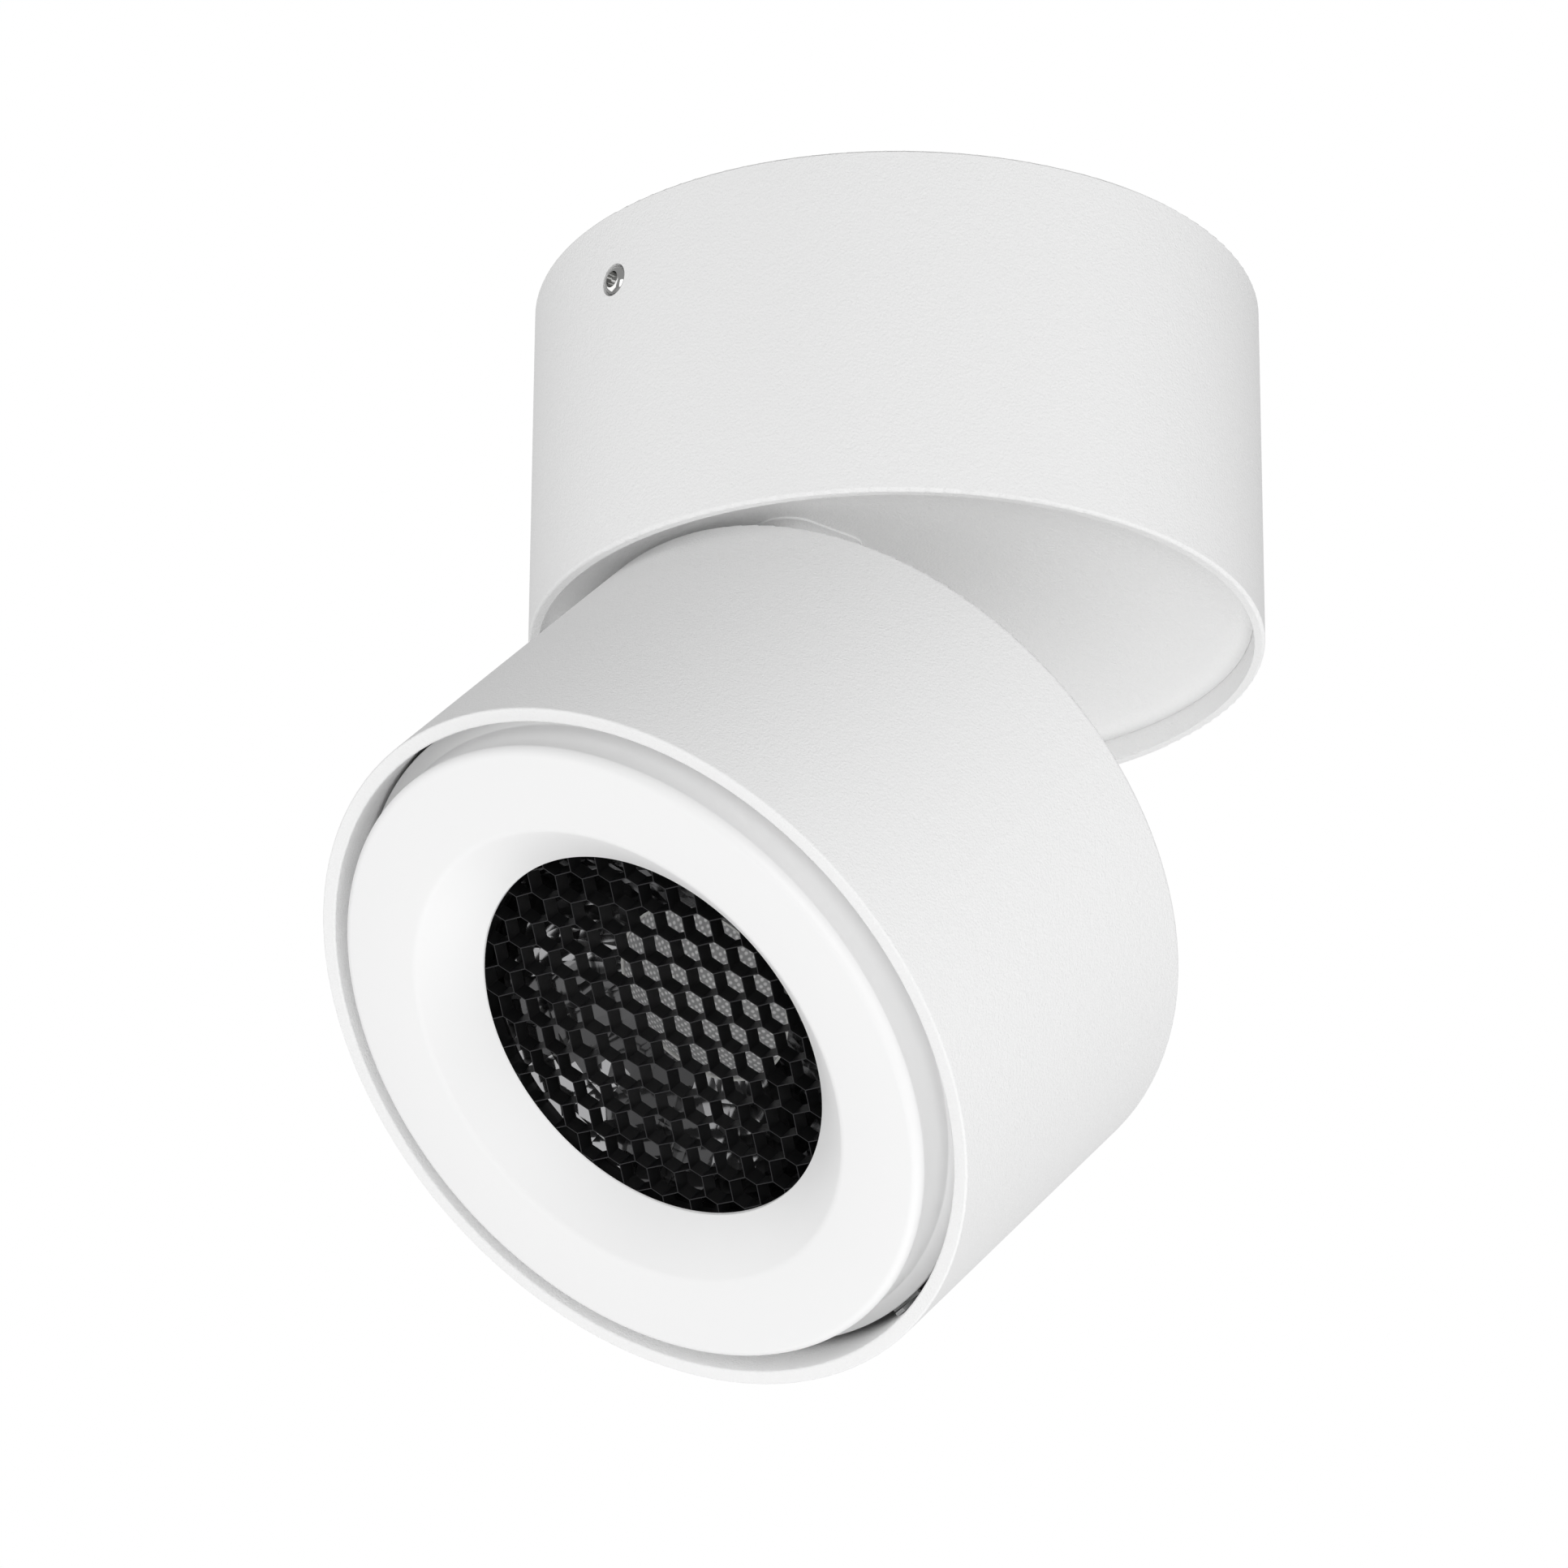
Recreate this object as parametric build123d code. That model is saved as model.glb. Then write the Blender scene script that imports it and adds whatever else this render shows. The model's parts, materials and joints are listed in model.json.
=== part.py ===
from build123d import *
import os
from math import cos, hypot, radians, sin, sqrt

# Ceiling spotlight: a drum-shaped base that is screwed to the ceiling, a disc that turns in its
# lower rim, a neck below the disc and a round head that tilts on the neck's hinge.
# Millimetres, +Z up, the ceiling is the plane Z = 0 and the swivel axis is the Z axis.
# The head points to -Y. It is drawn folded, straight under the base, and then tilted.

# ---------------------------------------------------------------- driving sizes
body_radius = 50.0
base_height = 50.0
head_length = 52.8
fold_gap = 1.0
rest_tilt = 44.8

# general clearances
fit_gap = 0.05
running_gap = 0.05
moving_gap = 0.3
thread_gap = 0.02

# base shell
base_wall = 2.0
rim_wall = 1.5
rim_round = 0.45
rim_inner_round = 0.15
top_round = 0.3
recess_depth = 3.5
web_thickness = 3.0

# swivel
disc_plate = 2.5
disc_height = 7.2
disc_rim_wall = 2.2
disc_rim_gap = 0.1
stud_radius = 7.0
stud_bore = 4.5
boss_wall = 6.0
bush_wall = 2.0
bush_flange_overhang = 4.0
bush_flange = 1.2
thrust_washer_thickness = 0.8
washer_overhang = 5.5
spring_washer_height = 1.0
spring_washer_thickness = 0.5
stud_nut_flats = 22.0
stud_nut_height = 4.0
stop_pin_radius = 1.5
stop_inset = 7.6
stop_pin_seat = 1.0
stop_lug_width = 3.0
stop_overlap = 2.5
lead_window = 5.0

# neck
neck_width = 30.0
neck_depth = 10.0
neck_setback = 14.7
neck_round = 1.5
neck_foot_width = 3.1
neck_foot_height = 0.3
neck_foot_round = 2.6
neck_end_round = 1.2
neck_duct_width = 10.0
neck_duct_depth = 5.0
neck_screw_spread = 22.0
neck_screw_hole = 10.0
neck_screw_length = 11.5

# hinge
pivot_inset = 6.3
pivot_drop = 8.6
tongue_width = 16.0
tongue_radius = 5.0
pin_radius = 2.0
hinge_washer_thickness = 0.7
hinge_washer_radius = 4.2
ear_thickness = 3.0
ear_radius = 4.3
hinge_base = 2.5
hinge_base_rear = 8.7
hinge_base_fore = 3.3
pin_head_radius = 3.5
pin_head_height = 2.4
pin_head_round = 0.6
hinge_nut_flats = 6.0
hinge_nut_height = 3.2
pin_tail = 0.8

# head shell
head_wall = 2.0
head_back_round = 0.8
head_front_round = 0.3
ledge_depth = 22.0
ledge_thickness = 2.0
ledge_width = 2.5

# back cover and its pocket for the neck
cover_recess = 3.0
cover_thickness = 1.5
cover_edge_gap = 0.1
cover_screw_length = 6.0
pocket_wall = 1.2
pocket_side_gap = 1.5
pocket_back_gap = 0.8
pocket_floor_gap = 0.7

# front ring, depths are counted from the plane of the head's front rim
face_proud = 2.45
face_gap = 2.9
face_round = 0.6
waist_inset = 0.8
waist_depth = 1.3
wall_start = 0.7
ridge_gap = 2.8
ridge_depth = 4.4
flange_gap = 0.75
flange_slope = 0.9
ring_back = 7.2
cone_radius = 33.5
cone_round = 1.5
lip_radius = 26.6
lip_depth = 3.35
lip_height = 0.7
ring_hollow_width = 1.0
ring_hollow_inner = 31.5
ring_skin = 2.0

# honeycomb louvre
louvre_radius = 27.8
louvre_ring = 0.7
louvre_thickness = 2.35
cell_wall = 0.2
# three neighbouring edges of a cell, as pulled open from the folded foil, and the middle of one cell
cell_edges = ((2.95, 0.42), (1.415, -2.69), (-1.033, -1.525))
cell_middle = (4.32, 0.47)

# reflector, lens and light source
reflector_wall = 1.0
reflector_flange = 0.8
mouth_inset = 1.2
reflector_throat = 13.1
reflector_length = 9.2
reflector_bulge = 1.6
lens_radius = 12.7
lens_rim = 1.5
lens_dome_radius = 12.4
lens_rise = 2.8
holder_radius = 19.0
holder_bore = 8.5
holder_screw_inset = 3.5
holder_screw_cover = 1.0
board_side = 24.0
board_thickness = 1.5
pad_thickness = 0.3
chip_radius = 6.0
chip_thickness = 0.6

# heat sink
sink_plate = 4.0
fin_thickness = 1.6
fin_pitch = 7.5
fin_pocket_gap = 1.2
fin_count = 11
fin_cover_gap = 1.5
cover_post_radius = 4.0
cover_post_inset = 6.0
cover_post_angles = (90.0, 200.0, 340.0)
sink_lead_hole = 4.0

# spring clips of the front ring
clip_angle = 79.0
clip_count = 3
clip_width = 6.0
clip_leaf_width = 1.8
clip_thickness = 0.5
clip_foot = 8.5
clip_rise = 2.0
clip_reach = 4.0
clip_wall_gap = 0.1
clip_screw_inset = 6.5

# ceiling bracket
bracket_thickness = 2.0
bracket_width = 30.0
bracket_arm_width = 14.0
bracket_pad_gap = 6.0
bracket_tab_drop = 16.0
bracket_round = 5.0
tab_wall_gap = 0.8
slot_spacing = 60.0
slot_width = 5.0
slot_length = 14.0
bracket_hole = 8.0
grommet_bore = 4.0
grommet_flange = 2.2
grommet_flange_thickness = 1.6

# side screws
side_screw_drop = 10.3
side_screw_head_radius = 2.05
side_screw_hole_gap = 0.25
side_screw_proud = 0.3
side_screw_dome = 0.5
side_screw_length = 6.0
side_screw_socket = 2.0

# driver
case_width = 40.0
case_end_gap = 4.2
case_wall = 1.8
case_round = 3.0
stud_case_gap = 1.4
lid_room = 4.2
case_window = 5.4
lid_thickness = 1.8
lid_lip = 1.5
lid_gap = 0.15
board_gap = 1.5
driver_board_thickness = 1.6
standoff_height = 2.2
standoff_radius = 2.8
# place and size of each capacitor, in shares of half the board and of the room above it
capacitors = ((-0.45, 0.55, 1.0), (0.45, 0.55, 0.8), (0.0, -0.62, 0.9))
capacitor_radius = 4.2
driver_hole_inset_x = 6.5
driver_hole_inset_y = 8.0
post_radius = 3.5

# terminal block, earth point and cable clamp on the web
terminal_inset = 16.0
terminal_depth = 12.0
terminal_length = 32.0
terminal_height = 13.0
terminal_count = 3
terminal_pitch = 9.0
terminal_entry = 1.8
terminal_entry_rise = 4.5
terminal_round = 1.1
terminal_screw_sink = 2.8
boss_inset = 16.0
boss_height = 5.0
boss_radius = 3.6
earth_y = -16.0
clamp_y = 18.0
clamp_spread = 14.0
clamp_width = 8.0
clamp_thickness = 3.0
clamp_round = 2.6
washer_thickness = 0.8
washer_face = 3.6

# screws: shank radius, head radius, head height
# sockets are measured in shank radii, the rounding and depth of a head in head heights
socket_flats = 1.3
socket_depth = 0.6
crown_round = 0.45
m3_shank = 1.5
m3_head = 2.75
m3_head_height = 1.8
m25_shank = 1.25
m25_head = 2.2
m25_head_height = 1.4

# ---------------------------------------------------------------- derived places
base_bore = body_radius - base_wall
rim_bore = body_radius - rim_wall
rim_z = -base_height
disc_under = rim_z + recess_depth
disc_plate_top = disc_under + disc_plate
disc_top = disc_under + disc_height
web_under = disc_top + moving_gap
web_top = web_under + web_thickness
disc_radius = rim_bore - disc_rim_gap
stop_circle = disc_radius - stop_inset

bush_bore = stud_radius + running_gap
bush_radius = bush_bore + bush_wall
web_bore = bush_radius + thread_gap
bush_top = web_top + bush_flange
boss_outer = stud_radius + boss_wall
washer_radius = stud_radius + washer_overhang
thrust_z = bush_top + moving_gap
spring_z = thrust_z + thrust_washer_thickness
nut_z = spring_z + spring_washer_height
stud_top = nut_z + stud_nut_height + moving_gap

pivot_z = rim_z - pivot_drop
back_z = rim_z - fold_gap
front_z = back_z - head_length
head_bore = body_radius - head_wall
pivot_reach = head_bore - pivot_inset
neck_centre = pivot_reach - neck_setback
hinge_base_back = pivot_reach - hinge_base_rear
hinge_base_front = pivot_reach + hinge_base_fore
neck_front = neck_centre + neck_depth / 2
neck_back = neck_centre - neck_depth / 2
neck_bottom = pivot_z - tongue_radius
washer_x = tongue_width / 2 + moving_gap
ear_x = washer_x + hinge_washer_thickness
ear_outer_x = ear_x + ear_thickness

pocket_x = neck_width / 2 + pocket_side_gap
neck_sweep = hypot(pivot_reach - neck_back, tongue_radius)
pocket_y = pivot_reach - neck_sweep - pocket_back_gap
hinge_base_top = neck_bottom - pocket_floor_gap
pocket_floor = hinge_base_top - hinge_base
pocket_under = pocket_floor - pocket_wall
cover_radius = head_bore - cover_edge_gap
cover_post_circle = head_bore - cover_post_inset
clip_screw_circle = head_bore - clip_screw_inset
cover_top = back_z - cover_recess
cover_under = cover_top - cover_thickness

face_radius = head_bore - face_gap
waist_radius = face_radius - waist_inset
ridge_radius = head_bore - ridge_gap
flange_radius = head_bore - flange_gap
ring_hollow_outer = cone_radius + ring_skin + ring_hollow_width
louvre_depth = lip_depth + lip_height
reflector_depth = louvre_depth + louvre_thickness
reflector_mouth = louvre_radius - mouth_inset
holder_depth = reflector_depth + reflector_length
ledge_back = ledge_depth + ledge_thickness
sink_z = front_z + ledge_back
sink_top = sink_z + sink_plate
holder_screw_circle = holder_radius - holder_screw_inset
holder_screw_end = sink_top - holder_screw_cover
chip_depth = ledge_back - pad_thickness - board_thickness - chip_thickness

bracket_reach = base_bore - tab_wall_gap
bracket_under = -bracket_thickness
case_floor = stud_top + stud_case_gap
case_top = bracket_under - lid_room - lid_thickness
case_length = 2 * (bracket_reach - side_screw_length - case_end_gap)
driver_hole_x = case_width / 2 - driver_hole_inset_x
driver_hole_y = case_length / 2 - driver_hole_inset_y
board_z = case_floor + case_wall + standoff_height
terminal_x = base_bore - terminal_inset
terminal_z = web_top
boss_x = base_bore - boss_inset
clamp_z = web_top + boss_height


# ---------------------------------------------------------------- helpers
def turned(points):
    """Solid turned about Z from a closed outline of (radius, height) points."""
    return revolve(Plane.XZ * make_face(Polyline(*points, close=True)), Axis.Z)


def rod(radius, low, high):
    """Cylinder about Z between two heights."""
    return Pos(0, 0, low) * Cylinder(radius, high - low, align=(Align.CENTER, Align.CENTER, Align.MIN))


def tube(radius, bore, low, high):
    return rod(radius, low, high) - rod(bore, low, high)


def block(x0, x1, y0, y1, z0, z1):
    """Box between corner values."""
    return Pos((x0 + x1) / 2, (y0 + y1) / 2, (z0 + z1) / 2) * Box(x1 - x0, y1 - y0, z1 - z0)


def across(radius, x0, x1, y, z):
    """Cylinder along X."""
    return Pos(x0, y, z) * Rot(0, 90, 0) * rod(radius, 0, x1 - x0)


def hexagon_rod(flats, low, high):
    """Six-sided bar about Z, given by its width across flats."""
    return Pos(0, 0, low) * extrude(RegularPolygon(flats / sqrt(3), 6), high - low)


def screw(shank, length, head, head_height):
    """Screw with a rounded head that sits on Z = 0, shank downwards, with a six-sided socket."""
    crown = fillet(rod(head, 0, head_height).edges().group_by(Axis.Z)[-1], head_height * crown_round)
    socket = hexagon_rod(shank * socket_flats, head_height * (1 - socket_depth), head_height)
    return crown + rod(shank, -length, 0) - socket


def flat_screw(shank, length, head):
    """Countersunk screw whose flat head ends at Z = 0."""
    sink = head - shank
    body = turned([(0, 0), (head, 0), (shank, -sink), (shank, -length), (0, -length)])
    return body - hexagon_rod(shank * socket_flats, -sink * socket_depth, 0)


def countersink(shank, length, head):
    """Hole for a countersunk screw."""
    gap = thread_gap
    sink = head - shank
    return turned([(0, gap), (head + 2 * gap, gap), (shank + gap, -sink), (shank + gap, -length), (0, -length)])


def ring_of(angles, radius):
    """Points on a circle about Z."""
    return [(radius * cos(radians(a)), radius * sin(radians(a))) for a in angles]


def four_holes():
    return [(x, y) for x in (-driver_hole_x, driver_hole_x) for y in (-driver_hole_y, driver_hole_y)]


def tilted(shape):
    """Turns a piece of the folded head about the hinge into the rest position."""
    return shape.rotate(Axis((0, -pivot_reach, pivot_z), (-1, 0, 0)), rest_tilt)


# ---------------------------------------------------------------- base
def base_shell():
    shell = turned([
        (body_radius, 0), (body_radius, rim_z), (rim_bore, rim_z), (rim_bore, web_under),
        (web_bore, web_under), (web_bore, web_top), (base_bore, web_top), (base_bore, 0)])
    shell = fillet(shell.edges().group_by(Axis.Z)[0].sort_by(SortBy.RADIUS)[-1], rim_round)
    shell = fillet(shell.edges().group_by(Axis.Z)[0].sort_by(SortBy.RADIUS)[0], rim_inner_round)
    shell = fillet(shell.edges().group_by(Axis.Z)[-1].sort_by(SortBy.RADIUS)[-1], top_round)
    for x, y in four_holes():
        shell += Pos(x, y, 0) * rod(post_radius, web_top, case_floor)
    for x, y in boss_places():
        shell += Pos(x, y, 0) * rod(boss_radius, web_top, clamp_z)
    lug = block(-stop_lug_width / 2, stop_lug_width / 2, stop_circle - stop_pin_radius,
                stop_circle + stop_pin_radius, disc_top - stop_overlap - moving_gap, web_under)
    shell += lug
    for x, y in four_holes():
        shell -= Pos(x, y, 0) * rod(m3_shank + thread_gap, web_under + web_thickness / 2, case_floor)
    for x, y in boss_places():
        shell -= Pos(x, y, 0) * rod(m3_shank + thread_gap, web_under + web_thickness / 2, clamp_z)
    hole = side_screw_head_radius + side_screw_hole_gap
    for side in (-1, 1):
        drill = Rot(90, 0, 0) * rod(hole, base_bore - base_wall, body_radius + base_wall)
        shell -= Pos(0, 0, -side_screw_drop) * Rot(0, 0, 90 - 90 * side) * drill
    return shell


def boss_places():
    """Earth screw first, then the two clamp screws."""
    return [(-boss_x, earth_y), (-boss_x, clamp_y - clamp_spread / 2), (-boss_x, clamp_y + clamp_spread / 2)]


def ceiling_bracket():
    pad_end = base_bore - bracket_pad_gap
    plate = block(-bracket_width / 2, bracket_width / 2, -pad_end, pad_end, bracket_under, 0)
    plate = fillet(plate.edges().filter_by(Axis.Z), bracket_round)
    plate += block(-bracket_arm_width / 2, bracket_arm_width / 2, -bracket_reach, bracket_reach,
                   bracket_under, 0)
    for side in (-1, 1):
        near, far = sorted((side * (bracket_reach - bracket_thickness), side * bracket_reach))
        plate += block(-bracket_arm_width / 2, bracket_arm_width / 2, near, far, -bracket_tab_drop, 0)
        slot = extrude(Rot(0, 0, 90) * SlotOverall(slot_length, slot_width), bracket_thickness)
        plate -= Pos(0, side * slot_spacing / 2, bracket_under) * slot
    plate -= rod(bracket_hole, bracket_under, 0)
    drill = Pos(0, 0, -side_screw_drop) * Rot(90, 0, 0) * rod(m3_shank + thread_gap, -body_radius, body_radius)
    return plate - drill


def supply_grommet():
    low = bracket_under - grommet_flange_thickness
    neck = rod(bracket_hole - thread_gap, bracket_under, 0)
    flange = rod(bracket_hole + grommet_flange, low, bracket_under)
    return neck + flange - rod(grommet_bore, low, 0)


def side_screws():
    seat = bracket_reach
    reach = body_radius + side_screw_proud - seat
    head = fillet(rod(side_screw_head_radius, 0, reach).edges().group_by(Axis.Z)[-1], side_screw_dome)
    head -= hexagon_rod(side_screw_socket, reach / 2, reach)
    body = head + rod(m3_shank, -side_screw_length, 0)
    placed = Pos(0, -seat, -side_screw_drop) * Rot(90, 0, 0) * body
    return Compound([placed, placed.rotate(Axis.Z, 180)])


def driver_case():
    outer = block(-case_width / 2, case_width / 2, -case_length / 2, case_length / 2, case_floor, case_top)
    outer = fillet(outer.edges().filter_by(Axis.Z), case_round)
    half_x = case_width / 2 - case_wall
    half_y = case_length / 2 - case_wall
    case = outer - block(-half_x, half_x, -half_y, half_y, case_floor + case_wall, case_top)
    for x, y in four_holes():
        case += Pos(x, y, 0) * rod(standoff_radius, case_floor, board_z)
        case -= Pos(x, y, 0) * rod(m3_shank + fit_gap, case_floor, board_z)
    window = block(half_x, case_width / 2, -terminal_pitch, terminal_pitch, case_top - case_window, case_top)
    return case - window


def driver_lid():
    lid = block(-case_width / 2, case_width / 2, -case_length / 2, case_length / 2,
                case_top, case_top + lid_thickness)
    lid = fillet(lid.edges().filter_by(Axis.Z), case_round)
    half_x = case_width / 2 - case_wall - lid_gap
    half_y = case_length / 2 - case_wall - lid_gap
    lip = block(-half_x, half_x, -half_y, half_y, case_top - lid_lip, case_top)
    inner = block(-half_x + case_wall, half_x - case_wall, -half_y + case_wall, half_y - case_wall,
                  case_top - lid_lip, case_top)
    return lid + lip - inner


def driver_board():
    half_x = case_width / 2 - case_wall - board_gap
    half_y = case_length / 2 - case_wall - board_gap
    top = board_z + driver_board_thickness
    room = case_top - lid_lip - top - board_gap
    board = block(-half_x, half_x, -half_y, half_y, board_z, top)
    for x, y in four_holes():
        board -= Pos(x, y, 0) * rod(m3_shank + fit_gap, board_z, top)
    coil = block(-half_x / 2, half_x / 2, -half_y / 4, half_y / 4, top, top + room)
    board += fillet(coil.edges().filter_by(Axis.Z), board_gap)
    for x, y, size in capacitors:
        board += Pos(x * half_x, y * half_y, 0) * rod(size * capacitor_radius, top, top + size * room)
    return board


def driver_screws():
    top = board_z + driver_board_thickness
    one = screw(m3_shank, top - web_top, m3_head, m3_head_height)
    return Compound([Pos(x, y, top) * one for x, y in four_holes()])


def terminal_places():
    middle = (terminal_count - 1) / 2
    return [(i - middle) * terminal_pitch for i in range(terminal_count)]


def terminal_block():
    body = block(terminal_x - terminal_depth / 2, terminal_x + terminal_depth / 2, -terminal_length / 2,
                 terminal_length / 2, terminal_z, terminal_z + terminal_height)
    body = fillet(body.edges().group_by(Axis.Z)[-1], terminal_round)
    top = terminal_z + terminal_height
    for y in terminal_places():
        body -= across(terminal_entry, terminal_x - terminal_depth / 2, terminal_x + terminal_depth / 2, y,
                       terminal_z + terminal_entry_rise)
        body -= Pos(terminal_x, y, 0) * rod(m25_head + fit_gap, top - terminal_screw_sink, top)
    return body


def terminal_screws():
    seat = terminal_z + terminal_height - terminal_screw_sink
    head = rod(m25_head, seat, seat + m25_head_height)
    head -= block(-m25_head, m25_head, -m25_head_height / 4, m25_head_height / 4,
                  seat + m25_head_height / 2, seat + m25_head_height)
    return Compound([Pos(terminal_x, y, 0) * head for y in terminal_places()])


def earth_washer():
    x, y = boss_places()[0]
    return Pos(x, y, 0) * tube(washer_face, m3_shank + fit_gap, clamp_z, clamp_z + washer_thickness)


def earth_screw():
    x, y = boss_places()[0]
    one = screw(m3_shank, washer_thickness + boss_height, m3_head, m3_head_height)
    return Pos(x, y, clamp_z + washer_thickness) * one


def cable_clamp():
    half = (clamp_spread + clamp_width) / 2
    bar = block(-boss_x - clamp_width / 2, -boss_x + clamp_width / 2, clamp_y - half, clamp_y + half,
                clamp_z, clamp_z + clamp_thickness)
    bar = fillet(bar.edges().filter_by(Axis.Z), clamp_round)
    for x, y in boss_places()[1:]:
        bar -= Pos(x, y, 0) * rod(m3_shank + fit_gap, clamp_z, clamp_z + clamp_thickness)
    return bar


def clamp_screws():
    one = screw(m3_shank, clamp_thickness + boss_height, m3_head, m3_head_height)
    return Compound([Pos(x, y, clamp_z + clamp_thickness) * one for x, y in boss_places()[1:]])


def swivel_bush():
    sleeve = tube(bush_radius, bush_bore, web_under, web_top)
    return sleeve + tube(bush_radius + bush_flange_overhang, bush_bore, web_top, bush_top)


# ---------------------------------------------------------------- turning disc
def neck_screw_places():
    return [(side * neck_screw_spread / 2, -neck_centre) for side in (-1, 1)]


def neck_duct(low, high):
    """Passage for the leads through disc and neck."""
    return block(-neck_duct_width / 2, neck_duct_width / 2, -neck_centre - neck_duct_depth / 2,
                 -neck_centre + neck_duct_depth / 2, low, high)


def swivel_disc():
    inner = disc_radius - disc_rim_wall
    disc = turned([
        (0, disc_under), (disc_radius, disc_under), (disc_radius, disc_top), (inner, disc_top),
        (inner, disc_plate_top), (boss_outer, disc_plate_top), (boss_outer, disc_top),
        (stud_radius + thread_gap, disc_top), (stud_radius + thread_gap, disc_plate_top), (0, disc_plate_top)])
    disc -= block(-lead_window / 2, lead_window / 2, -boss_outer, -stud_radius, disc_plate_top, disc_top)
    disc -= neck_duct(disc_under, disc_plate_top)
    for x, y in neck_screw_places():
        disc -= Pos(x, y, 0) * rod(m3_shank + fit_gap, disc_under, disc_plate_top)
    return disc - Pos(0, -stop_circle, 0) * rod(stop_pin_radius + thread_gap, disc_plate_top - stop_pin_seat,
                                                disc_plate_top)


def swivel_stud():
    stud = tube(stud_radius, stud_bore, disc_plate_top, stud_top)
    window = block(-lead_window / 2, lead_window / 2, -stud_radius, 0, disc_plate_top + fit_gap,
                   disc_top - running_gap)
    return stud - window


def thrust_washer():
    return tube(washer_radius, stud_radius + fit_gap, thrust_z, thrust_z + thrust_washer_thickness)


def spring_washer():
    """Coned spring ring: its outer edge stands on the thrust washer, its inner edge lifts the nut."""
    inner = stud_radius + fit_gap
    low, high = spring_z, nut_z
    return turned([
        (washer_radius, low), (washer_radius, low + spring_washer_thickness), (inner, high),
        (inner, high - spring_washer_thickness)])


def stud_nut():
    nut = hexagon_rod(stud_nut_flats, nut_z, nut_z + stud_nut_height)
    return nut - rod(stud_radius + thread_gap, nut_z, nut_z + stud_nut_height)


def stop_pin():
    pin = rod(stop_pin_radius, disc_plate_top - stop_pin_seat, disc_top)
    return Pos(0, -stop_circle, 0) * pin


def neck():
    half = neck_width / 2
    column = block(-half, half, -neck_front, -neck_back, neck_bottom, disc_under)
    column = fillet(column.edges().filter_by(Axis.Z), neck_round)
    column = fillet(column.edges().group_by(Axis.Z)[0], neck_end_round)
    wide = neck_foot_width
    foot = block(-half - wide, half + wide, -neck_front - wide, -neck_back + wide,
                 disc_under - neck_foot_height, disc_under)
    column += fillet(foot.edges().filter_by(Axis.Z), neck_round + wide)
    foot_edges = column.edges().filter_by(lambda e: abs(e.bounding_box().size.Z) < 1e-3).filter_by(
        lambda e: abs(e.center().Z - disc_under + neck_foot_height) < 1e-3).sort_by(SortBy.LENGTH)
    inner = [e for e in foot_edges if abs(e.center().X) < half + 0.1 and -neck_front - 0.1 < e.center().Y < -neck_back + 0.1]
    column = fillet(inner, neck_foot_round)
    grip = tongue_width / 2
    column += block(-grip, grip, -pivot_reach, -neck_centre, neck_bottom, pivot_z + tongue_radius)
    column += across(tongue_radius, -grip, grip, -pivot_reach, pivot_z)
    column -= across(pin_radius + running_gap, -grip, grip, -pivot_reach, pivot_z)
    column -= neck_duct(neck_bottom, disc_under)
    for x, y in neck_screw_places():
        column -= Pos(x, y, 0) * rod(m3_shank + thread_gap, disc_under - neck_screw_hole, disc_under)
    return column


def neck_screws():
    one = screw(m3_shank, neck_screw_length, m3_head, m3_head_height)
    return Compound([Pos(x, y, disc_plate_top) * one for x, y in neck_screw_places()])


# ---------------------------------------------------------------- head, drawn folded
def head_shell():
    ledge_low = front_z + ledge_depth
    ledge_high = front_z + ledge_back
    ledge_bore = head_bore - ledge_width
    shell = turned([
        (body_radius, back_z), (body_radius, front_z), (head_bore, front_z), (head_bore, ledge_low),
        (ledge_bore, ledge_low), (ledge_bore, ledge_high), (head_bore, ledge_high), (head_bore, back_z)])
    back_edges = shell.edges().group_by(Axis.Z)[-1].sort_by(SortBy.RADIUS)
    shell = fillet(back_edges[-1], head_back_round)
    return fillet(shell.edges().group_by(Axis.Z)[0], head_front_round)


def pocket(side, back, floor):
    """Room of the neck in the head's back, out to the head's wall."""
    return block(-side, side, -body_radius, -back, floor, cover_top)


def back_cover():
    disc = rod(cover_radius, cover_under, cover_top)
    box = pocket(pocket_x + pocket_wall, pocket_y - pocket_wall, pocket_under)
    disc += box & rod(cover_radius, pocket_under, cover_top)
    disc -= pocket(pocket_x, pocket_y, pocket_floor)
    for x, y in ring_of(cover_post_angles, cover_post_circle):
        disc -= Pos(x, y, cover_top) * countersink(m3_shank, cover_thickness + fit_gap, m3_head)
    for x, y in hinge_screw_places():
        disc -= Pos(x, y, 0) * rod(m3_shank + fit_gap, pocket_under, pocket_floor)
    return disc - Pos(0, -neck_centre, 0) * rod(sink_lead_hole, pocket_under, pocket_floor)


def cover_screws():
    one = flat_screw(m3_shank, cover_screw_length, m3_head)
    return Compound([Pos(x, y, cover_top) * one for x, y in ring_of(cover_post_angles, cover_post_circle)])


def lead_grommet():
    flange = rod(sink_lead_hole + pocket_wall, pocket_floor, pocket_floor + pocket_floor_gap)
    neck_part = rod(sink_lead_hole - thread_gap, pocket_under, pocket_floor)
    return Pos(0, -neck_centre, 0) * (flange + neck_part - rod(sink_lead_hole / 2, pocket_under,
                                                              pocket_floor + pocket_floor_gap))


def hinge_screw_places():
    y = -(hinge_base_back + pivot_reach) / 2
    return [(side * tongue_width / 4, y) for side in (-1, 1)]


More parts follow.
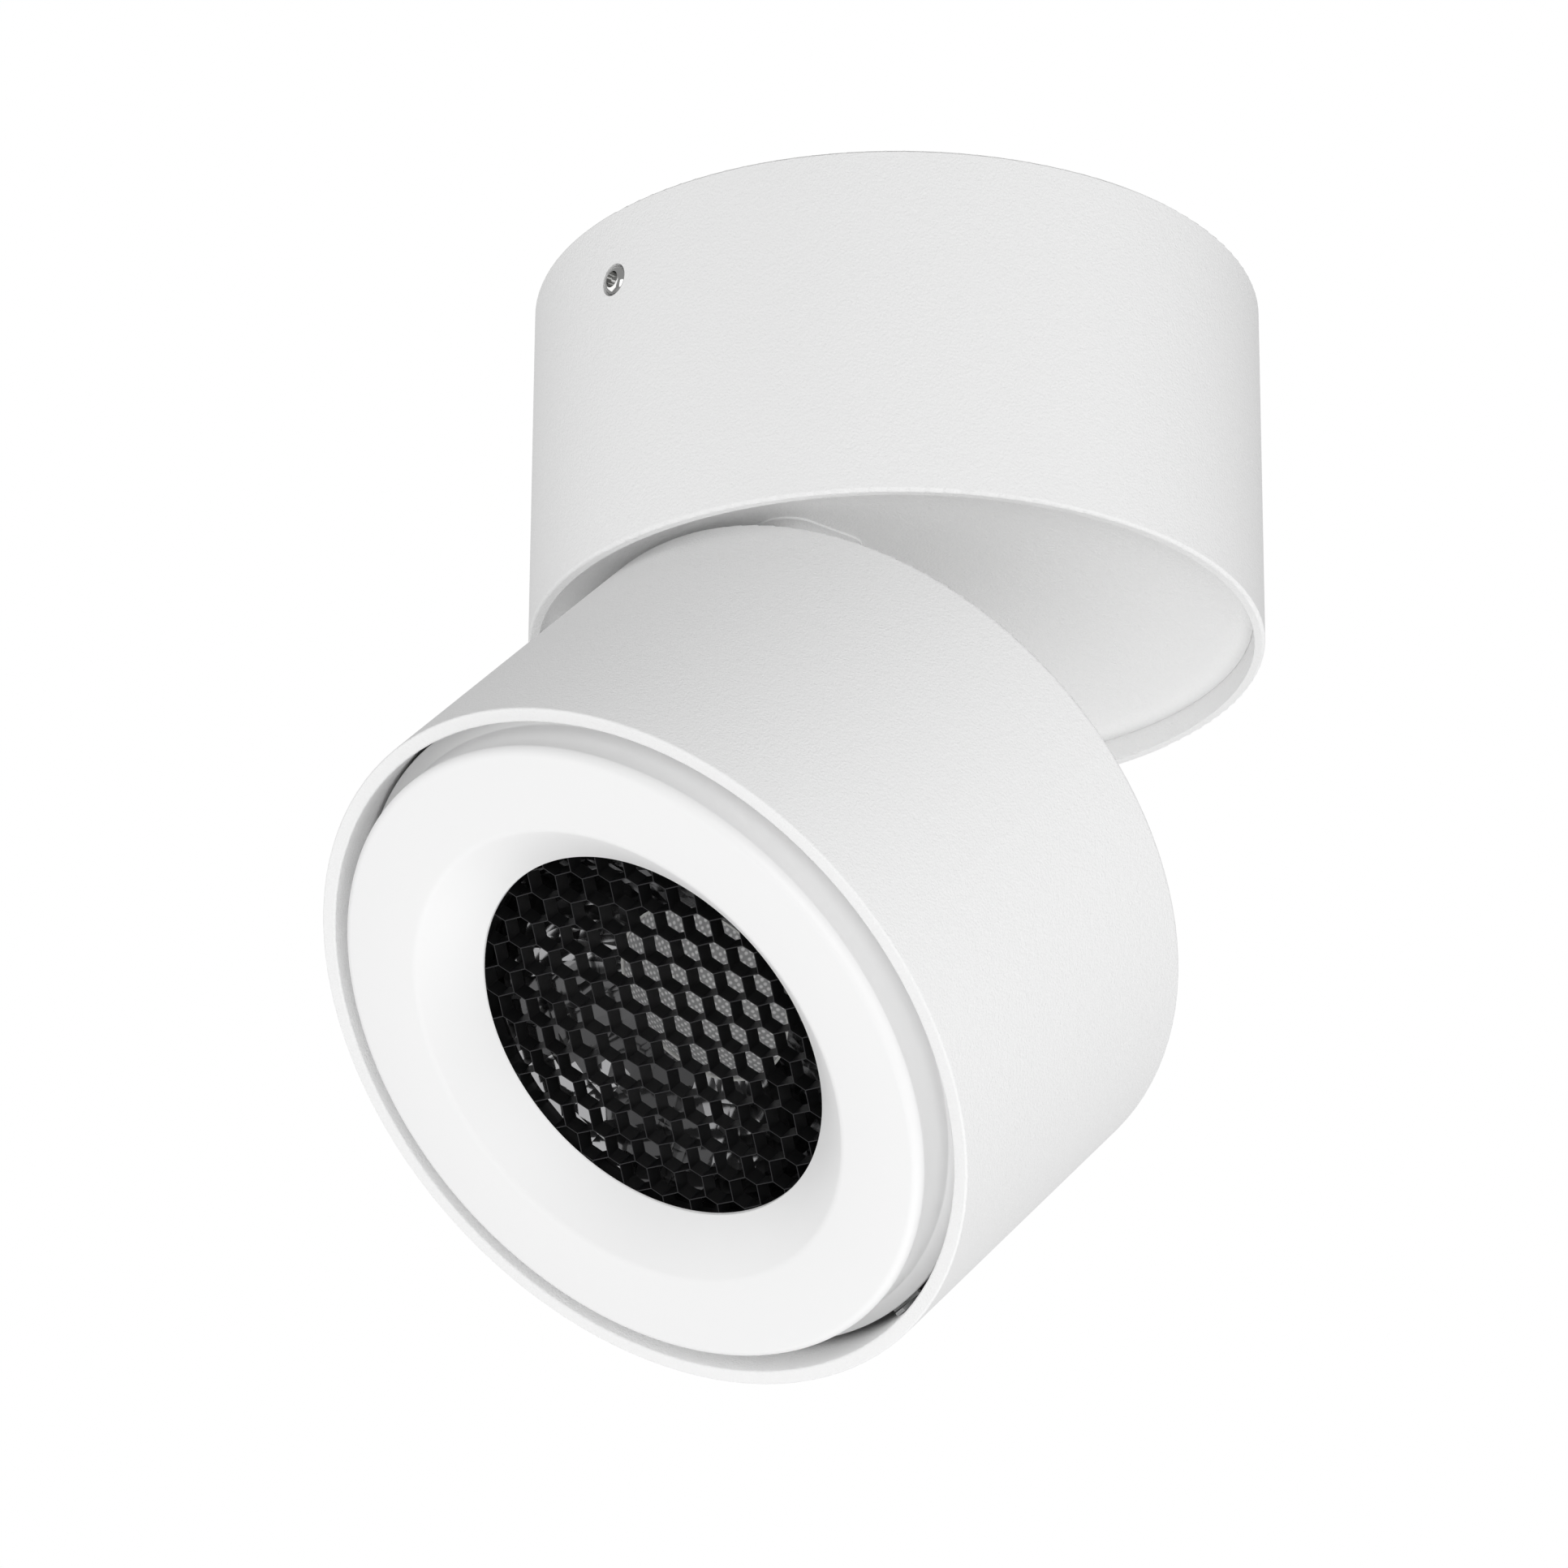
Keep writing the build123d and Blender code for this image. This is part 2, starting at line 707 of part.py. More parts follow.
def hinge_bracket():
    base = block(-ear_outer_x, ear_outer_x, -hinge_base_front, -hinge_base_back, pocket_floor,
                 hinge_base_top)
    for side in (-1, 1):
        near, far = sorted((side * ear_x, side * ear_outer_x))
        base += block(near, far, -hinge_base_front, -pivot_reach + ear_radius, pocket_floor, pivot_z)
        base += across(ear_radius, near, far, -pivot_reach, pivot_z)
    base -= across(pin_radius + thread_gap, -ear_outer_x, ear_outer_x, -pivot_reach, pivot_z)
    for x, y in hinge_screw_places():
        base -= Pos(x, y, hinge_base_top) * countersink(m3_shank, hinge_base + fit_gap, m3_head)
    return base


def hinge_bracket_screws():
    one = flat_screw(m3_shank, hinge_base + pocket_wall + sink_plate, m3_head)
    return Compound([Pos(x, y, hinge_base_top) * one for x, y in hinge_screw_places()])


def hinge_pin():
    shaft = across(pin_radius, -ear_outer_x - hinge_nut_height - pin_tail, ear_outer_x, -pivot_reach, pivot_z)
    head = fillet(rod(pin_head_radius, 0, pin_head_height).edges().group_by(Axis.Z)[-1], pin_head_round)
    head -= hexagon_rod(pin_radius * socket_flats, pin_head_height * (1 - socket_depth), pin_head_height)
    return shaft + Pos(ear_outer_x, -pivot_reach, pivot_z) * Rot(0, 90, 0) * head


def hinge_nut():
    nut = hexagon_rod(hinge_nut_flats, 0, hinge_nut_height) - rod(pin_radius + thread_gap, 0, hinge_nut_height)
    return Pos(-ear_outer_x - hinge_nut_height, -pivot_reach, pivot_z) * Rot(0, 90, 0) * nut


def hinge_washers():
    rings = []
    for side in (-1, 1):
        near, far = sorted((side * washer_x, side * ear_x))
        ring = across(hinge_washer_radius, near, far, -pivot_reach, pivot_z)
        rings.append(ring - across(pin_radius + fit_gap, near, far, -pivot_reach, pivot_z))
    return Compound(rings)


def heat_sink():
    radius = head_bore - cover_edge_gap
    sink = rod(radius, sink_z, sink_top)
    fin_room = rod(radius - ledge_width, sink_top, cover_under - fin_cover_gap)
    wide = pocket_wall + fin_pocket_gap
    keep_out = pocket(pocket_x + wide, pocket_y - wide, sink_top)
    middle = (fin_count - 1) / 2
    for i in range(fin_count):
        x = (i - middle) * fin_pitch
        fin = block(x - fin_thickness / 2, x + fin_thickness / 2, -body_radius, body_radius, sink_top,
                    cover_under - fin_cover_gap)
        sink += (fin & fin_room) - keep_out
    for x, y in ring_of(cover_post_angles, cover_post_circle):
        sink += Pos(x, y, 0) * rod(cover_post_radius, sink_top, cover_under)
    sink += block(-ear_outer_x, ear_outer_x, -pivot_reach, -hinge_base_back, sink_top, pocket_under)
    for x, y in ring_of(cover_post_angles, cover_post_circle):
        sink -= Pos(x, y, 0) * rod(m3_shank + thread_gap, cover_top - cover_screw_length, cover_under)
    depth = hinge_base_top - hinge_base - pocket_wall - sink_plate
    for x, y in hinge_screw_places():
        sink -= Pos(x, y, 0) * rod(m3_shank + thread_gap, depth, pocket_under)
    for x, y in holder_screw_places():
        sink -= Pos(x, y, 0) * rod(m25_shank + thread_gap, sink_z, holder_screw_end)
    return sink - Pos(0, -neck_centre, 0) * rod(sink_lead_hole, sink_z, sink_top)


def square(side, low, high):
    return block(-side / 2, side / 2, -side / 2, side / 2, low, high)


def thermal_pad():
    return square(board_side, sink_z - pad_thickness, sink_z)


def led_board():
    top = sink_z - pad_thickness
    return square(board_side, top - board_thickness, top)


def led_chip():
    return rod(chip_radius, front_z + chip_depth, front_z + chip_depth + chip_thickness)


def holder_screw_places():
    return [(side * holder_screw_circle, 0) for side in (-1, 1)]


def led_holder():
    low = front_z + holder_depth
    lens_seat = low + lens_rim + moving_gap
    holder = tube(holder_radius, holder_bore, low, sink_z)
    holder -= rod(lens_radius + fit_gap, low, lens_seat)
    holder -= square(board_side + 2 * fit_gap, sink_z - pad_thickness - board_thickness, sink_z)
    for x, y in holder_screw_places():
        holder -= Pos(x, y, 0) * rod(m25_shank + fit_gap, low, sink_z)
        holder -= Pos(x, y, 0) * rod(m25_head + fit_gap, low, lens_seat)
    return holder


def holder_screws():
    seat = front_z + holder_depth + lens_rim + moving_gap
    one = Rot(180, 0, 0) * screw(m25_shank, holder_screw_end - seat, m25_head, m25_head_height)
    return Compound([Pos(x, y, seat) * one for x, y in holder_screw_places()])


def lens():
    back = front_z + holder_depth + lens_rim + moving_gap
    front = back - lens_rim
    ball = (lens_dome_radius ** 2 + lens_rise ** 2) / (2 * lens_rise)
    dome = Pos(0, 0, front - lens_rise + ball) * Sphere(ball)
    dome &= rod(lens_dome_radius, front - lens_rise, front)
    return rod(lens_radius, front, back) + dome


def reflector():
    low = front_z + reflector_depth
    high = low + reflector_length
    middle_r = (reflector_mouth + reflector_throat) / 2 + reflector_bulge / 2
    middle_z = (low + high) / 2 + reflector_bulge / 2
    wall = reflector_wall
    inner = ThreePointArc((reflector_mouth, low), (middle_r, middle_z), (reflector_throat, high))
    rim = (reflector_mouth + wall / 2, low + reflector_flange)
    outer = ThreePointArc((reflector_throat + wall, high),
                          (middle_r + wall / sqrt(2), middle_z + wall / sqrt(2)), rim)
    outline = [
        inner, Line((reflector_throat, high), (reflector_throat + wall, high)), outer,
        Line(rim, (louvre_radius, low + reflector_flange)),
        Line((louvre_radius, low + reflector_flange), (louvre_radius, low)),
        Line((louvre_radius, low), (reflector_mouth, low))]
    return revolve(Plane.XZ * make_face(outline), Axis.Z)


def cell_steps():
    """Steps from a cell to two of its neighbours."""
    (ax, ay), (bx, by), (cx, cy) = cell_edges
    return (ax + bx, ay + by), (bx + cx, by + cy)


def cell_places():
    """Middles of the honeycomb's cells that reach into the louvre."""
    (ax, ay), (bx, by) = cell_steps()
    count = int(2 * louvre_radius / hypot(bx, by)) + 2
    places = []
    for i in range(-count, count + 1):
        for j in range(-count, count + 1):
            x, y = cell_middle[0] + i * ax + j * bx, cell_middle[1] + i * ay + j * by
            if hypot(x, y) < louvre_radius - louvre_ring + hypot(bx, by) / 4:
                places.append((x, y))
    return places


def cell_outline():
    """Corners of one cell about its middle, drawn in by half a wall."""
    inside = 1 - cell_wall / hypot(*cell_steps()[1])
    x, y = (-sum(edge[i] for edge in cell_edges) / 2 * inside for i in (0, 1))
    corners = []
    for turn in (1, -1):
        for edge in cell_edges:
            corners.append((x, y))
            x, y = x + turn * edge[0] * inside, y + turn * edge[1] * inside
    return corners


def louvre():
    low = front_z + louvre_depth
    cell = make_face(Polyline(*cell_outline(), close=True))
    cells = [Pos(x, y) * cell for x, y in cell_places()]
    web = Circle(louvre_radius) - (Sketch() + cells & Circle(louvre_radius - louvre_ring))
    return Pos(0, 0, low) * extrude(web, louvre_thickness)


def trim_ring():
    def at(radius, depth):
        return (radius, front_z + depth)

    face = -face_proud
    seat = louvre_radius + 2 * fit_gap
    wall_top = face + wall_start
    corner = at(face_radius, wall_top)
    ridge = at(ridge_radius, ridge_depth)
    flange = ridge_depth + flange_slope
    back = ring_back
    cove = ThreePointArc(corner, at(waist_radius, waist_depth), ridge)
    path = [
        ridge, at(flange_radius, flange), at(flange_radius, back), at(ring_hollow_outer, back),
        at(ring_hollow_outer, face + ring_skin), at(cone_radius + ring_skin, face + ring_skin),
        at(ring_hollow_inner - ring_skin / 2, louvre_depth), at(ring_hollow_inner - ring_skin / 2, back),
        at(seat, back), at(seat, louvre_depth), at(lip_radius, louvre_depth), at(lip_radius, lip_depth),
        at(cone_radius, face), at(face_radius, face), corner]
    ring = revolve(Plane.XZ * make_face([cove, Polyline(*path)]), Axis.Z)
    front_edges = ring.edges().group_by(Axis.Z)[0].sort_by(SortBy.RADIUS)
    ring = fillet(front_edges[-1], face_round)
    front_edges = ring.edges().group_by(Axis.Z)[0].sort_by(SortBy.RADIUS)
    ring = fillet(front_edges[0], cone_round)
    for x, y in clip_screw_places():
        ring -= Pos(x, y, 0) * rod(m25_shank + thread_gap, front_z + ridge_depth / 2, front_z + back)
    return ring


def clip_angles():
    return [clip_angle + 360 * i / clip_count for i in range(clip_count)]


def clip_screw_places():
    return ring_of(clip_angles(), clip_screw_circle)


def trim_clips():
    back = front_z + ring_back
    leaf_out = head_bore - clip_wall_gap
    leaf_in = leaf_out - clip_thickness
    foot_in = leaf_out - clip_foot - clip_thickness
    foot = block(foot_in, leaf_in, -clip_width / 2, clip_width / 2, back, back + clip_thickness)
    neck_part = block(leaf_in - clip_thickness, leaf_out, -clip_leaf_width / 2, clip_leaf_width / 2, back,
                      back + clip_thickness)
    leaf = block(leaf_in, leaf_out, -clip_leaf_width / 2, clip_leaf_width / 2, back - clip_rise,
                 back + clip_reach)
    clip = foot + neck_part + leaf & rod(leaf_out, back - clip_rise, back + clip_reach)
    clip -= Pos(clip_screw_circle, 0, 0) * rod(m25_shank + fit_gap, back, back + clip_thickness)
    return Compound([Rot(0, 0, angle) * clip for angle in clip_angles()])


def clip_screws():
    seat = front_z + ring_back + clip_thickness
    one = screw(m25_shank, ring_back / 2, m25_head, m25_head_height)
    return Compound([Pos(x, y, seat) * one for x, y in clip_screw_places()])


# ---------------------------------------------------------------- all pieces
fixed_pieces = [
    base_shell, ceiling_bracket, supply_grommet, side_screws, driver_case, driver_lid, driver_board,
    driver_screws, terminal_block, terminal_screws, earth_washer, earth_screw, cable_clamp, clamp_screws,
    swivel_bush, swivel_disc, swivel_stud, thrust_washer, spring_washer, stud_nut, stop_pin, neck,
    neck_screws]
head_pieces = [
    head_shell, back_cover, cover_screws, lead_grommet, hinge_bracket, hinge_bracket_screws, hinge_pin,
    hinge_nut, hinge_washers, heat_sink, thermal_pad, led_board, led_chip, led_holder, holder_screws, lens,
    reflector, louvre, trim_ring, trim_clips, clip_screws]

os.makedirs("parts", exist_ok=True)
for make in fixed_pieces:
    export_step(make(), f"parts/{make.__name__}.step")
for make in head_pieces:
    export_step(tilted(make()), f"parts/{make.__name__}.step")
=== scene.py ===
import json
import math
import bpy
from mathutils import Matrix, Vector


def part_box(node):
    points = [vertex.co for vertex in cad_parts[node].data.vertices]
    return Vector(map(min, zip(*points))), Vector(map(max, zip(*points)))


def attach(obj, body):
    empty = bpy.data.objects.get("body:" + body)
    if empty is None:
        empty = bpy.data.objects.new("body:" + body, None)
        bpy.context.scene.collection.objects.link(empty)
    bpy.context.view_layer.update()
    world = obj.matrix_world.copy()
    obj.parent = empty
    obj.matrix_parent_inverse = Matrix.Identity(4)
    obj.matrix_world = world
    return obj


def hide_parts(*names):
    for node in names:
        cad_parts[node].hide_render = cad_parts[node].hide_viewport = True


bl_info = {
    "name": "Ceiling spotlight",
    "version": (1, 0, 0),
    "blender": (4, 5, 0),
    "location": "View3D > Sidebar > Spotlight",
    "description": "Dresses the packed ceiling spotlight: louvre, optics, ring, finishes and stage",
    "category": "Add Mesh",
}

import bmesh
import bpy
from mathutils import Matrix, Vector, noise

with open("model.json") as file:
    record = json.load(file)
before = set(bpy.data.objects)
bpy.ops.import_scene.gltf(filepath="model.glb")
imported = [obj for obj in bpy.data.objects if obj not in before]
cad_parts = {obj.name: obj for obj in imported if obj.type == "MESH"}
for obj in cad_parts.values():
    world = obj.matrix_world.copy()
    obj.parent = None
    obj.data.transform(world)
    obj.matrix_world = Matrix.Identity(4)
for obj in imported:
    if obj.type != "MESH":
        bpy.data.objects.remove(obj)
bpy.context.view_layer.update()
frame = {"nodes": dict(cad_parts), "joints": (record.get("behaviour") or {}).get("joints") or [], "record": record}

MM = 0.001
JOINTS = {joint["name"]: joint for joint in frame["joints"]}
HINGE = Vector(JOINTS["head_tilt"]["pos_m"])
# the lower limit is the folded head, which points straight down
REST_TILT = -math.radians(JOINTS["head_tilt"]["range_deg"][0])
# brings a piece of the head from the folded pose, where it is made about Z, to its place at rest
HEAD = Matrix.Translation(HINGE) @ Matrix.Rotation(-REST_TILT, 4, "X") @ Matrix.Translation(-HINGE)
RIM_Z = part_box("base_shell")[0].z
HEAD_LENGTH = 52.8 * MM
FOLD_GAP = 1.0 * MM
FRONT_Z = RIM_Z - FOLD_GAP - HEAD_LENGTH


# ---------------------------------------------------------------- settings
def length(name, description, millimetres, least=0.0):
    return bpy.props.FloatProperty(
        name=name, description=description, default=millimetres * MM, min=least, unit="LENGTH",
        subtype="DISTANCE", precision=5)


def step(name, description, x, y):
    return bpy.props.FloatVectorProperty(
        name=name, description=description + ", across the head", size=2, default=(x * MM, y * MM),
        unit="LENGTH", subtype="XYZ_LENGTH", precision=5)


def degrees(name, description, turn):
    return bpy.props.FloatProperty(
        name=name, description=description, default=math.radians(turn), unit="ROTATION", subtype="ANGLE")


def count(name, description, default, least=1):
    return bpy.props.IntProperty(name=name, description=description, default=default, min=least)


def watts(name, place, default):
    return bpy.props.FloatProperty(
        name=name, description="Power of the soft box " + place, default=default, min=0.0, unit="POWER")


def hue(name, description, code):
    return bpy.props.StringProperty(
        name=name, description=description + ", as an sRGB hex value", default=code)


class SpotlightLouvre(bpy.types.PropertyGroup):
    """Sizes and colours of the black honeycomb louvre"""
    radius: length("Radius", "Outer radius of the louvre's frame", 27.8)
    frame_wall: length("Frame wall", "Thickness of the frame round the foil", 0.7)
    depth: length("Depth", "Depth of the folded foil", 2.35)
    foil: length("Foil", "Thickness of a cell's wall", 0.12)
    wander: length("Wander", "How far the folds wander from their places", 0.1)
    front: length("Front depth", "Depth of the louvre's front behind the head's front rim", 4.05)
    fold_1: step("First fold", "One side of a cell", 2.95, 0.42)
    fold_2: step("Second fold", "The side of a cell after the first", 1.415, -2.69)
    fold_3: step("Third fold", "The side of a cell after the second", -1.033, -1.525)
    middle: step("Middle", "Middle of one of the cells", 4.32, 0.47)
    foil_colour: hue("Foil colour", "Black anodised foil", "#151516")
    # the foil's front edges are drawn lighter: partly bare cut metal, partly a painted highlight
    edge_and_highlight_colour: hue("Edge colour", "Cut edge of the foil", "#4a4a4c")


class SpotlightRing(bpy.types.PropertyGroup):
    """Sizes of the white front ring"""
    face_radius: length("Face radius", "Outer radius of the ring's face", 45.1)
    face_proud: length("Face proud", "How far the face stands out of the head's rim", 2.45)
    face_wall: length("Face wall", "Height of the wall above the face's edge", 1.5)
    face_round: length("Face round", "Round of the face's outer edge", 1.3)
    waist_radius: length("Waist radius", "Least radius of the hollow round the side", 44.8)
    waist_depth: length("Waist depth", "Depth of that place behind the head's rim", 1.3)
    ridge_radius: length("Ridge radius", "Radius of the ridge where the hollow meets the flange", 45.2)
    ridge_depth: length("Ridge depth", "Depth of the ridge", 4.4)
    flange_radius: length("Flange radius", "Radius of the flange in the head", 47.25)
    flange_depth: length("Flange depth", "Depth of the flange's front edge", 5.3)
    back: length("Back", "Depth of the ring's back", 7.2)
    cone_radius: length("Cone radius", "Radius where the face turns into the cone", 33.5)
    cone_round: length("Cone round", "Round between face and cone", 0.6)
    lip_radius: length("Lip radius", "Radius of the light opening", 26.6)
    lip_depth: length("Lip depth", "Depth of the lip of the light opening", 3.35)
    skin: length("Skin", "Thickness of the ring", 1.0)
    lean: degrees("Lean", "How far the ring sits askew in the head, turned about Y", 1.29)
    drop: length("Drop", "How far the ring sits off the head's axis, toward its front when folded", 0.35)


class SpotlightOptics(bpy.types.PropertyGroup):
    """Sizes and colours of the reflector and the lens"""
    mouth: length("Mouth", "Radius of the reflector's mouth", 26.6)
    throat: length("Throat", "Radius of the reflector's throat", 13.1)
    reflector_length: length("Reflector length", "Length of the reflector", 9.2)
    bulge: length("Bulge", "How far the reflector's side bulges", 1.6)
    wall: length("Wall", "Thickness of the reflector", 1.0)
    flange: length("Flange", "Thickness of the reflector's flange", 0.8)
    facets: count("Facets", "Facets round the reflector", 64, 8)
    rings: count("Rings", "Rings of facets along the reflector", 7, 2)
    unevenness: length("Unevenness", "How far the facets' corners wander", 0.12)
    # the mirror's mid-grey is painted shade: bright aluminium darkened, which dims its reflections
    shaded_mirror_colour: hue("Mirror colour", "Metallised side of the reflector", "#727273")
    lens_radius: length("Lens radius", "Radius of the lens", 12.7)
    lens_rim: length("Lens rim", "Thickness of the lens at its rim", 1.5)
    lens_rise: length("Lens rise", "Rise of the lens's dome", 2.8)
    lens_gap: length("Lens gap", "Gap between the reflector's throat and the lens", 0.3)
    dimple: length("Dimple pitch", "Distance between the lens's dimples", 0.78)
    lens_colour: hue("Lens colour", "Lens between its dimples", "#b2b2b3")
    # the bright dots in the middle of the dimples are painted glints
    dimple_glint_colour: hue("Dimple colour", "Middle of a dimple", "#ffffff")


class SpotlightScrews(bpy.types.PropertyGroup):
    """Sizes of the side screws"""
    radius: length("Radius", "Radius of a screw's head", 2.0)
    height: length("Height", "Height of the head", 3.1)
    dome: length("Dome", "Rise of the head's dome", 0.6)
    recess: length("Recess", "Radius of the recess", 1.15)
    recess_depth: length("Recess depth", "Depth of the recess", 1.5)
    shank: length("Shank", "Radius of the shank", 1.5)
    length: length("Length", "Length of the screw with its head", 9.1)


class SpotlightFinish(bpy.types.PropertyGroup):
    """Colours and grains of the shells, the ring and the screws"""
    powder: hue("Powder coat", "Colour of the shells, disc and neck", "#f6f6f6")
    grain: length("Grain", "Grain of the powder coat", 0.32)
    lacquer: hue("Lacquer", "Colour of the front ring", "#f7f7f7")
    nickel: hue("Nickel", "Colour of the side screws", "#c9c9c8")
    seam: length("Seam", "How far the disc's edge is drawn out toward the base's wall", 0.07)


class SpotlightStage(bpy.types.PropertyGroup):
    """Camera, light and floor"""
    azimuth: degrees("Azimuth", "Turn of the view about the swivel axis", 50.321)
    elevation: degrees("Elevation", "Height of the view, below the horizon", -23.509)
    roll: degrees("Roll", "Roll of the camera", 0.386)
    distance: length("Distance", "Distance of the camera from the base's rim", 1048.163)
    aside: length("Aside", "How far the base's rim lies right of the view's middle", 15.286, -1.0)
    above: length("Above", "How far the base's rim lies above the view's middle", 18.202, -1.0)
    photo_width: count("Photo width", "Width of the photograph in pixels", 1932)
    focal_pixels: bpy.props.FloatProperty(
        name="Focal length in pixels", description="Focal length, in pixels of the photograph",
        default=9510.286)
    front_box: watts("Front", "behind the camera", 8.7)
    front_right_box: watts("Front right", "between the camera and its right", 3.2)
    below_box: watts("Below", "under the spotlight", 7.0)
    right_box: watts("Right", "at the camera's right", 2.8)
    left_box: watts("Left", "at the camera's left", 5.7)
    sky: bpy.props.FloatProperty(
        name="Sky", description="Strength of the even light from all round", default=0.4, min=0.0)
    floor: hue("Floor", "Colour of the floor", "#e8e8e8")
    floor_drop: length("Floor drop", "How far the floor lies below the ceiling", 1500.0)


GROUPS = {
    "spotlight_louvre": SpotlightLouvre,
    "spotlight_ring": SpotlightRing,
    "spotlight_optics": SpotlightOptics,
    "spotlight_screws": SpotlightScrews,
    "spotlight_finish": SpotlightFinish,
    "spotlight_stage": SpotlightStage,
}


# ---------------------------------------------------------------- shader helpers
def linear(code):
    """Linear colour with full opacity from an sRGB hex value."""
    channels = [int(code[i:i + 2], 16) / 255 for i in (1, 3, 5)]
    return [c / 12.92 if c <= 0.04045 else ((c + 0.055) / 1.055) ** 2.4 for c in channels] + [1.0]


def fill(tree, node, inputs):
    """Gives a node's inputs their values or links."""
    for name, value in inputs.items():
        if isinstance(value, bpy.types.NodeSocket):
            tree.links.new(value, node.inputs[name])
        else:
            node.inputs[name].default_value = value


def add(tree, kind, inputs=None, **settings):
    """Adds a node with its settings, values and links."""
    made = tree.nodes.new(kind)
    for name, value in settings.items():
        setattr(made, name, value)
    fill(tree, made, inputs or {})
    return made


def begin(name, colour, roughness, **inputs):
    """New material with one Principled shader. Gives the material, its tree, the shader and the object
    coordinates in millimetres, so that a pattern's scale is one over its real size."""
    made = bpy.data.materials.new(name)
    made.use_nodes = True
    made.diffuse_color = linear(colour)
    tree = made.node_tree
    shader = tree.nodes["Principled BSDF"]
    fill(tree, shader, {"Base Color": linear(colour), "Roughness": roughness, **inputs})
    place = add(tree, "ShaderNodeTexCoord")
    scaled = add(tree, "ShaderNodeVectorMath", {0: place.outputs["Object"], 1: (1 / MM, 1 / MM, 1 / MM)},
                 operation="MULTIPLY")
    return made, tree, shader, scaled.outputs[0]


# ---------------------------------------------------------------- finishes
# sizes of patterns and depths of bumps are in millimetres; the tone and gloss that a finish begins with
# are its mean ones, and the patterns that are linked afterwards take their place
def powder_coated_aluminium(name, settings):
    """Polyester powder baked on aluminium: matt white with a fine, even orange peel."""
    peel_size, patch_size = 1.1, 0.8
    made, tree, shader, place = begin(name, settings.powder, 0.5)
    fine = add(tree, "ShaderNodeTexNoise", {"Vector": place, "Scale": MM / settings.grain, "Detail": 1.0})
    peel = add(tree, "ShaderNodeTexNoise", {"Vector": place, "Scale": 1 / peel_size})
    patch = add(tree, "ShaderNodeTexNoise", {"Vector": place, "Scale": 1 / patch_size})
    waves = add(tree, "ShaderNodeBump", {"Height": peel.outputs["Fac"], "Distance": 0.05 * MM})
    bumps = add(tree, "ShaderNodeBump", {"Height": fine.outputs["Fac"], "Distance": 0.09 * MM,
                                         "Normal": waves.outputs["Normal"]})
    gloss = add(tree, "ShaderNodeMapRange", {"Value": patch.outputs["Fac"], "To Min": 0.42, "To Max": 0.6})
    fill(tree, shader, {"Roughness": gloss.outputs["Result"], "Normal": bumps.outputs["Normal"]})
    return made


def satin_lacquered_casting(name, settings):
    """Lacquered zinc casting: smooth, satin, slightly brighter white."""
    wave_size, patch_size = 0.9, 5.0
    made, tree, shader, place = begin(name, settings.lacquer, 0.42)
    wave = add(tree, "ShaderNodeTexNoise", {"Vector": place, "Scale": 1 / wave_size, "Detail": 1.0})
    patch = add(tree, "ShaderNodeTexNoise", {"Vector": place, "Scale": 1 / patch_size})
    bumps = add(tree, "ShaderNodeBump", {"Height": wave.outputs["Fac"], "Distance": 0.004 * MM})
    gloss = add(tree, "ShaderNodeMapRange", {"Value": patch.outputs["Fac"], "To Min": 0.38, "To Max": 0.46})
    fill(tree, shader, {"Roughness": gloss.outputs["Result"], "Normal": bumps.outputs["Normal"]})
    return made


def black_anodised_foil(name, settings):
    """Rolled aluminium foil, anodised black: dark satin metal whose gloss is a little uneven."""
    # the real pores are far finer, and are drawn this coarse so that they show
    patch_size, pore_size = 0.3, 0.12
    made, tree, shader, place = begin(name, settings.foil_colour, 0.42, Metallic=0.3)
    patch = add(tree, "ShaderNodeTexNoise", {"Vector": place, "Scale": 1 / patch_size, "Detail": 3.0})
    pores = add(tree, "ShaderNodeTexNoise", {"Vector": place, "Scale": 1 / pore_size})
    bumps = add(tree, "ShaderNodeBump", {"Height": pores.outputs["Fac"], "Distance": 0.004 * MM})
    gloss = add(tree, "ShaderNodeMapRange", {"Value": patch.outputs["Fac"], "To Min": 0.34, "To Max": 0.52})
    fill(tree, shader, {"Roughness": gloss.outputs["Result"], "Normal": bumps.outputs["Normal"]})
    return made


def cut_foil_edge(name, settings):
    """Front edge of the foil, a thin grey line: partly the bare metal of the cut, partly a painted highlight where
    the edges catch the light.
    """
    burr_size = 0.6
    made, tree, shader, place = begin(name, settings.edge_and_highlight_colour, 0.4, Metallic=0.8)
    burr = add(tree, "ShaderNodeTexNoise", {"Vector": place, "Scale": 1 / burr_size, "Detail": 3.0})
    tone = add(tree, "ShaderNodeMix", {0: burr.outputs["Fac"], 6: linear("#3a3a3c"),
                                       7: linear(settings.edge_and_highlight_colour)}, data_type="RGBA")
    fill(tree, shader, {"Base Color": tone.outputs[2]})
    return made


def metallised_polycarbonate(name, settings):
    """Polycarbonate with vacuum-deposited aluminium, seen in shade: a mirror with a faint haze, its bright metal
    darkened to mid-grey as painted shade.
    """
    haze_size = 1.5
    made, tree, shader, place = begin(name, settings.shaded_mirror_colour, 0.08, Metallic=1.0)
    haze = add(tree, "ShaderNodeTexNoise", {"Vector": place, "Scale": 1 / haze_size, "Detail": 3.0})
    gloss = add(tree, "ShaderNodeMapRange", {"Value": haze.outputs["Fac"], "To Min": 0.04, "To Max": 0.12})
    fill(tree, shader, {"Roughness": gloss.outputs["Result"]})
    return made


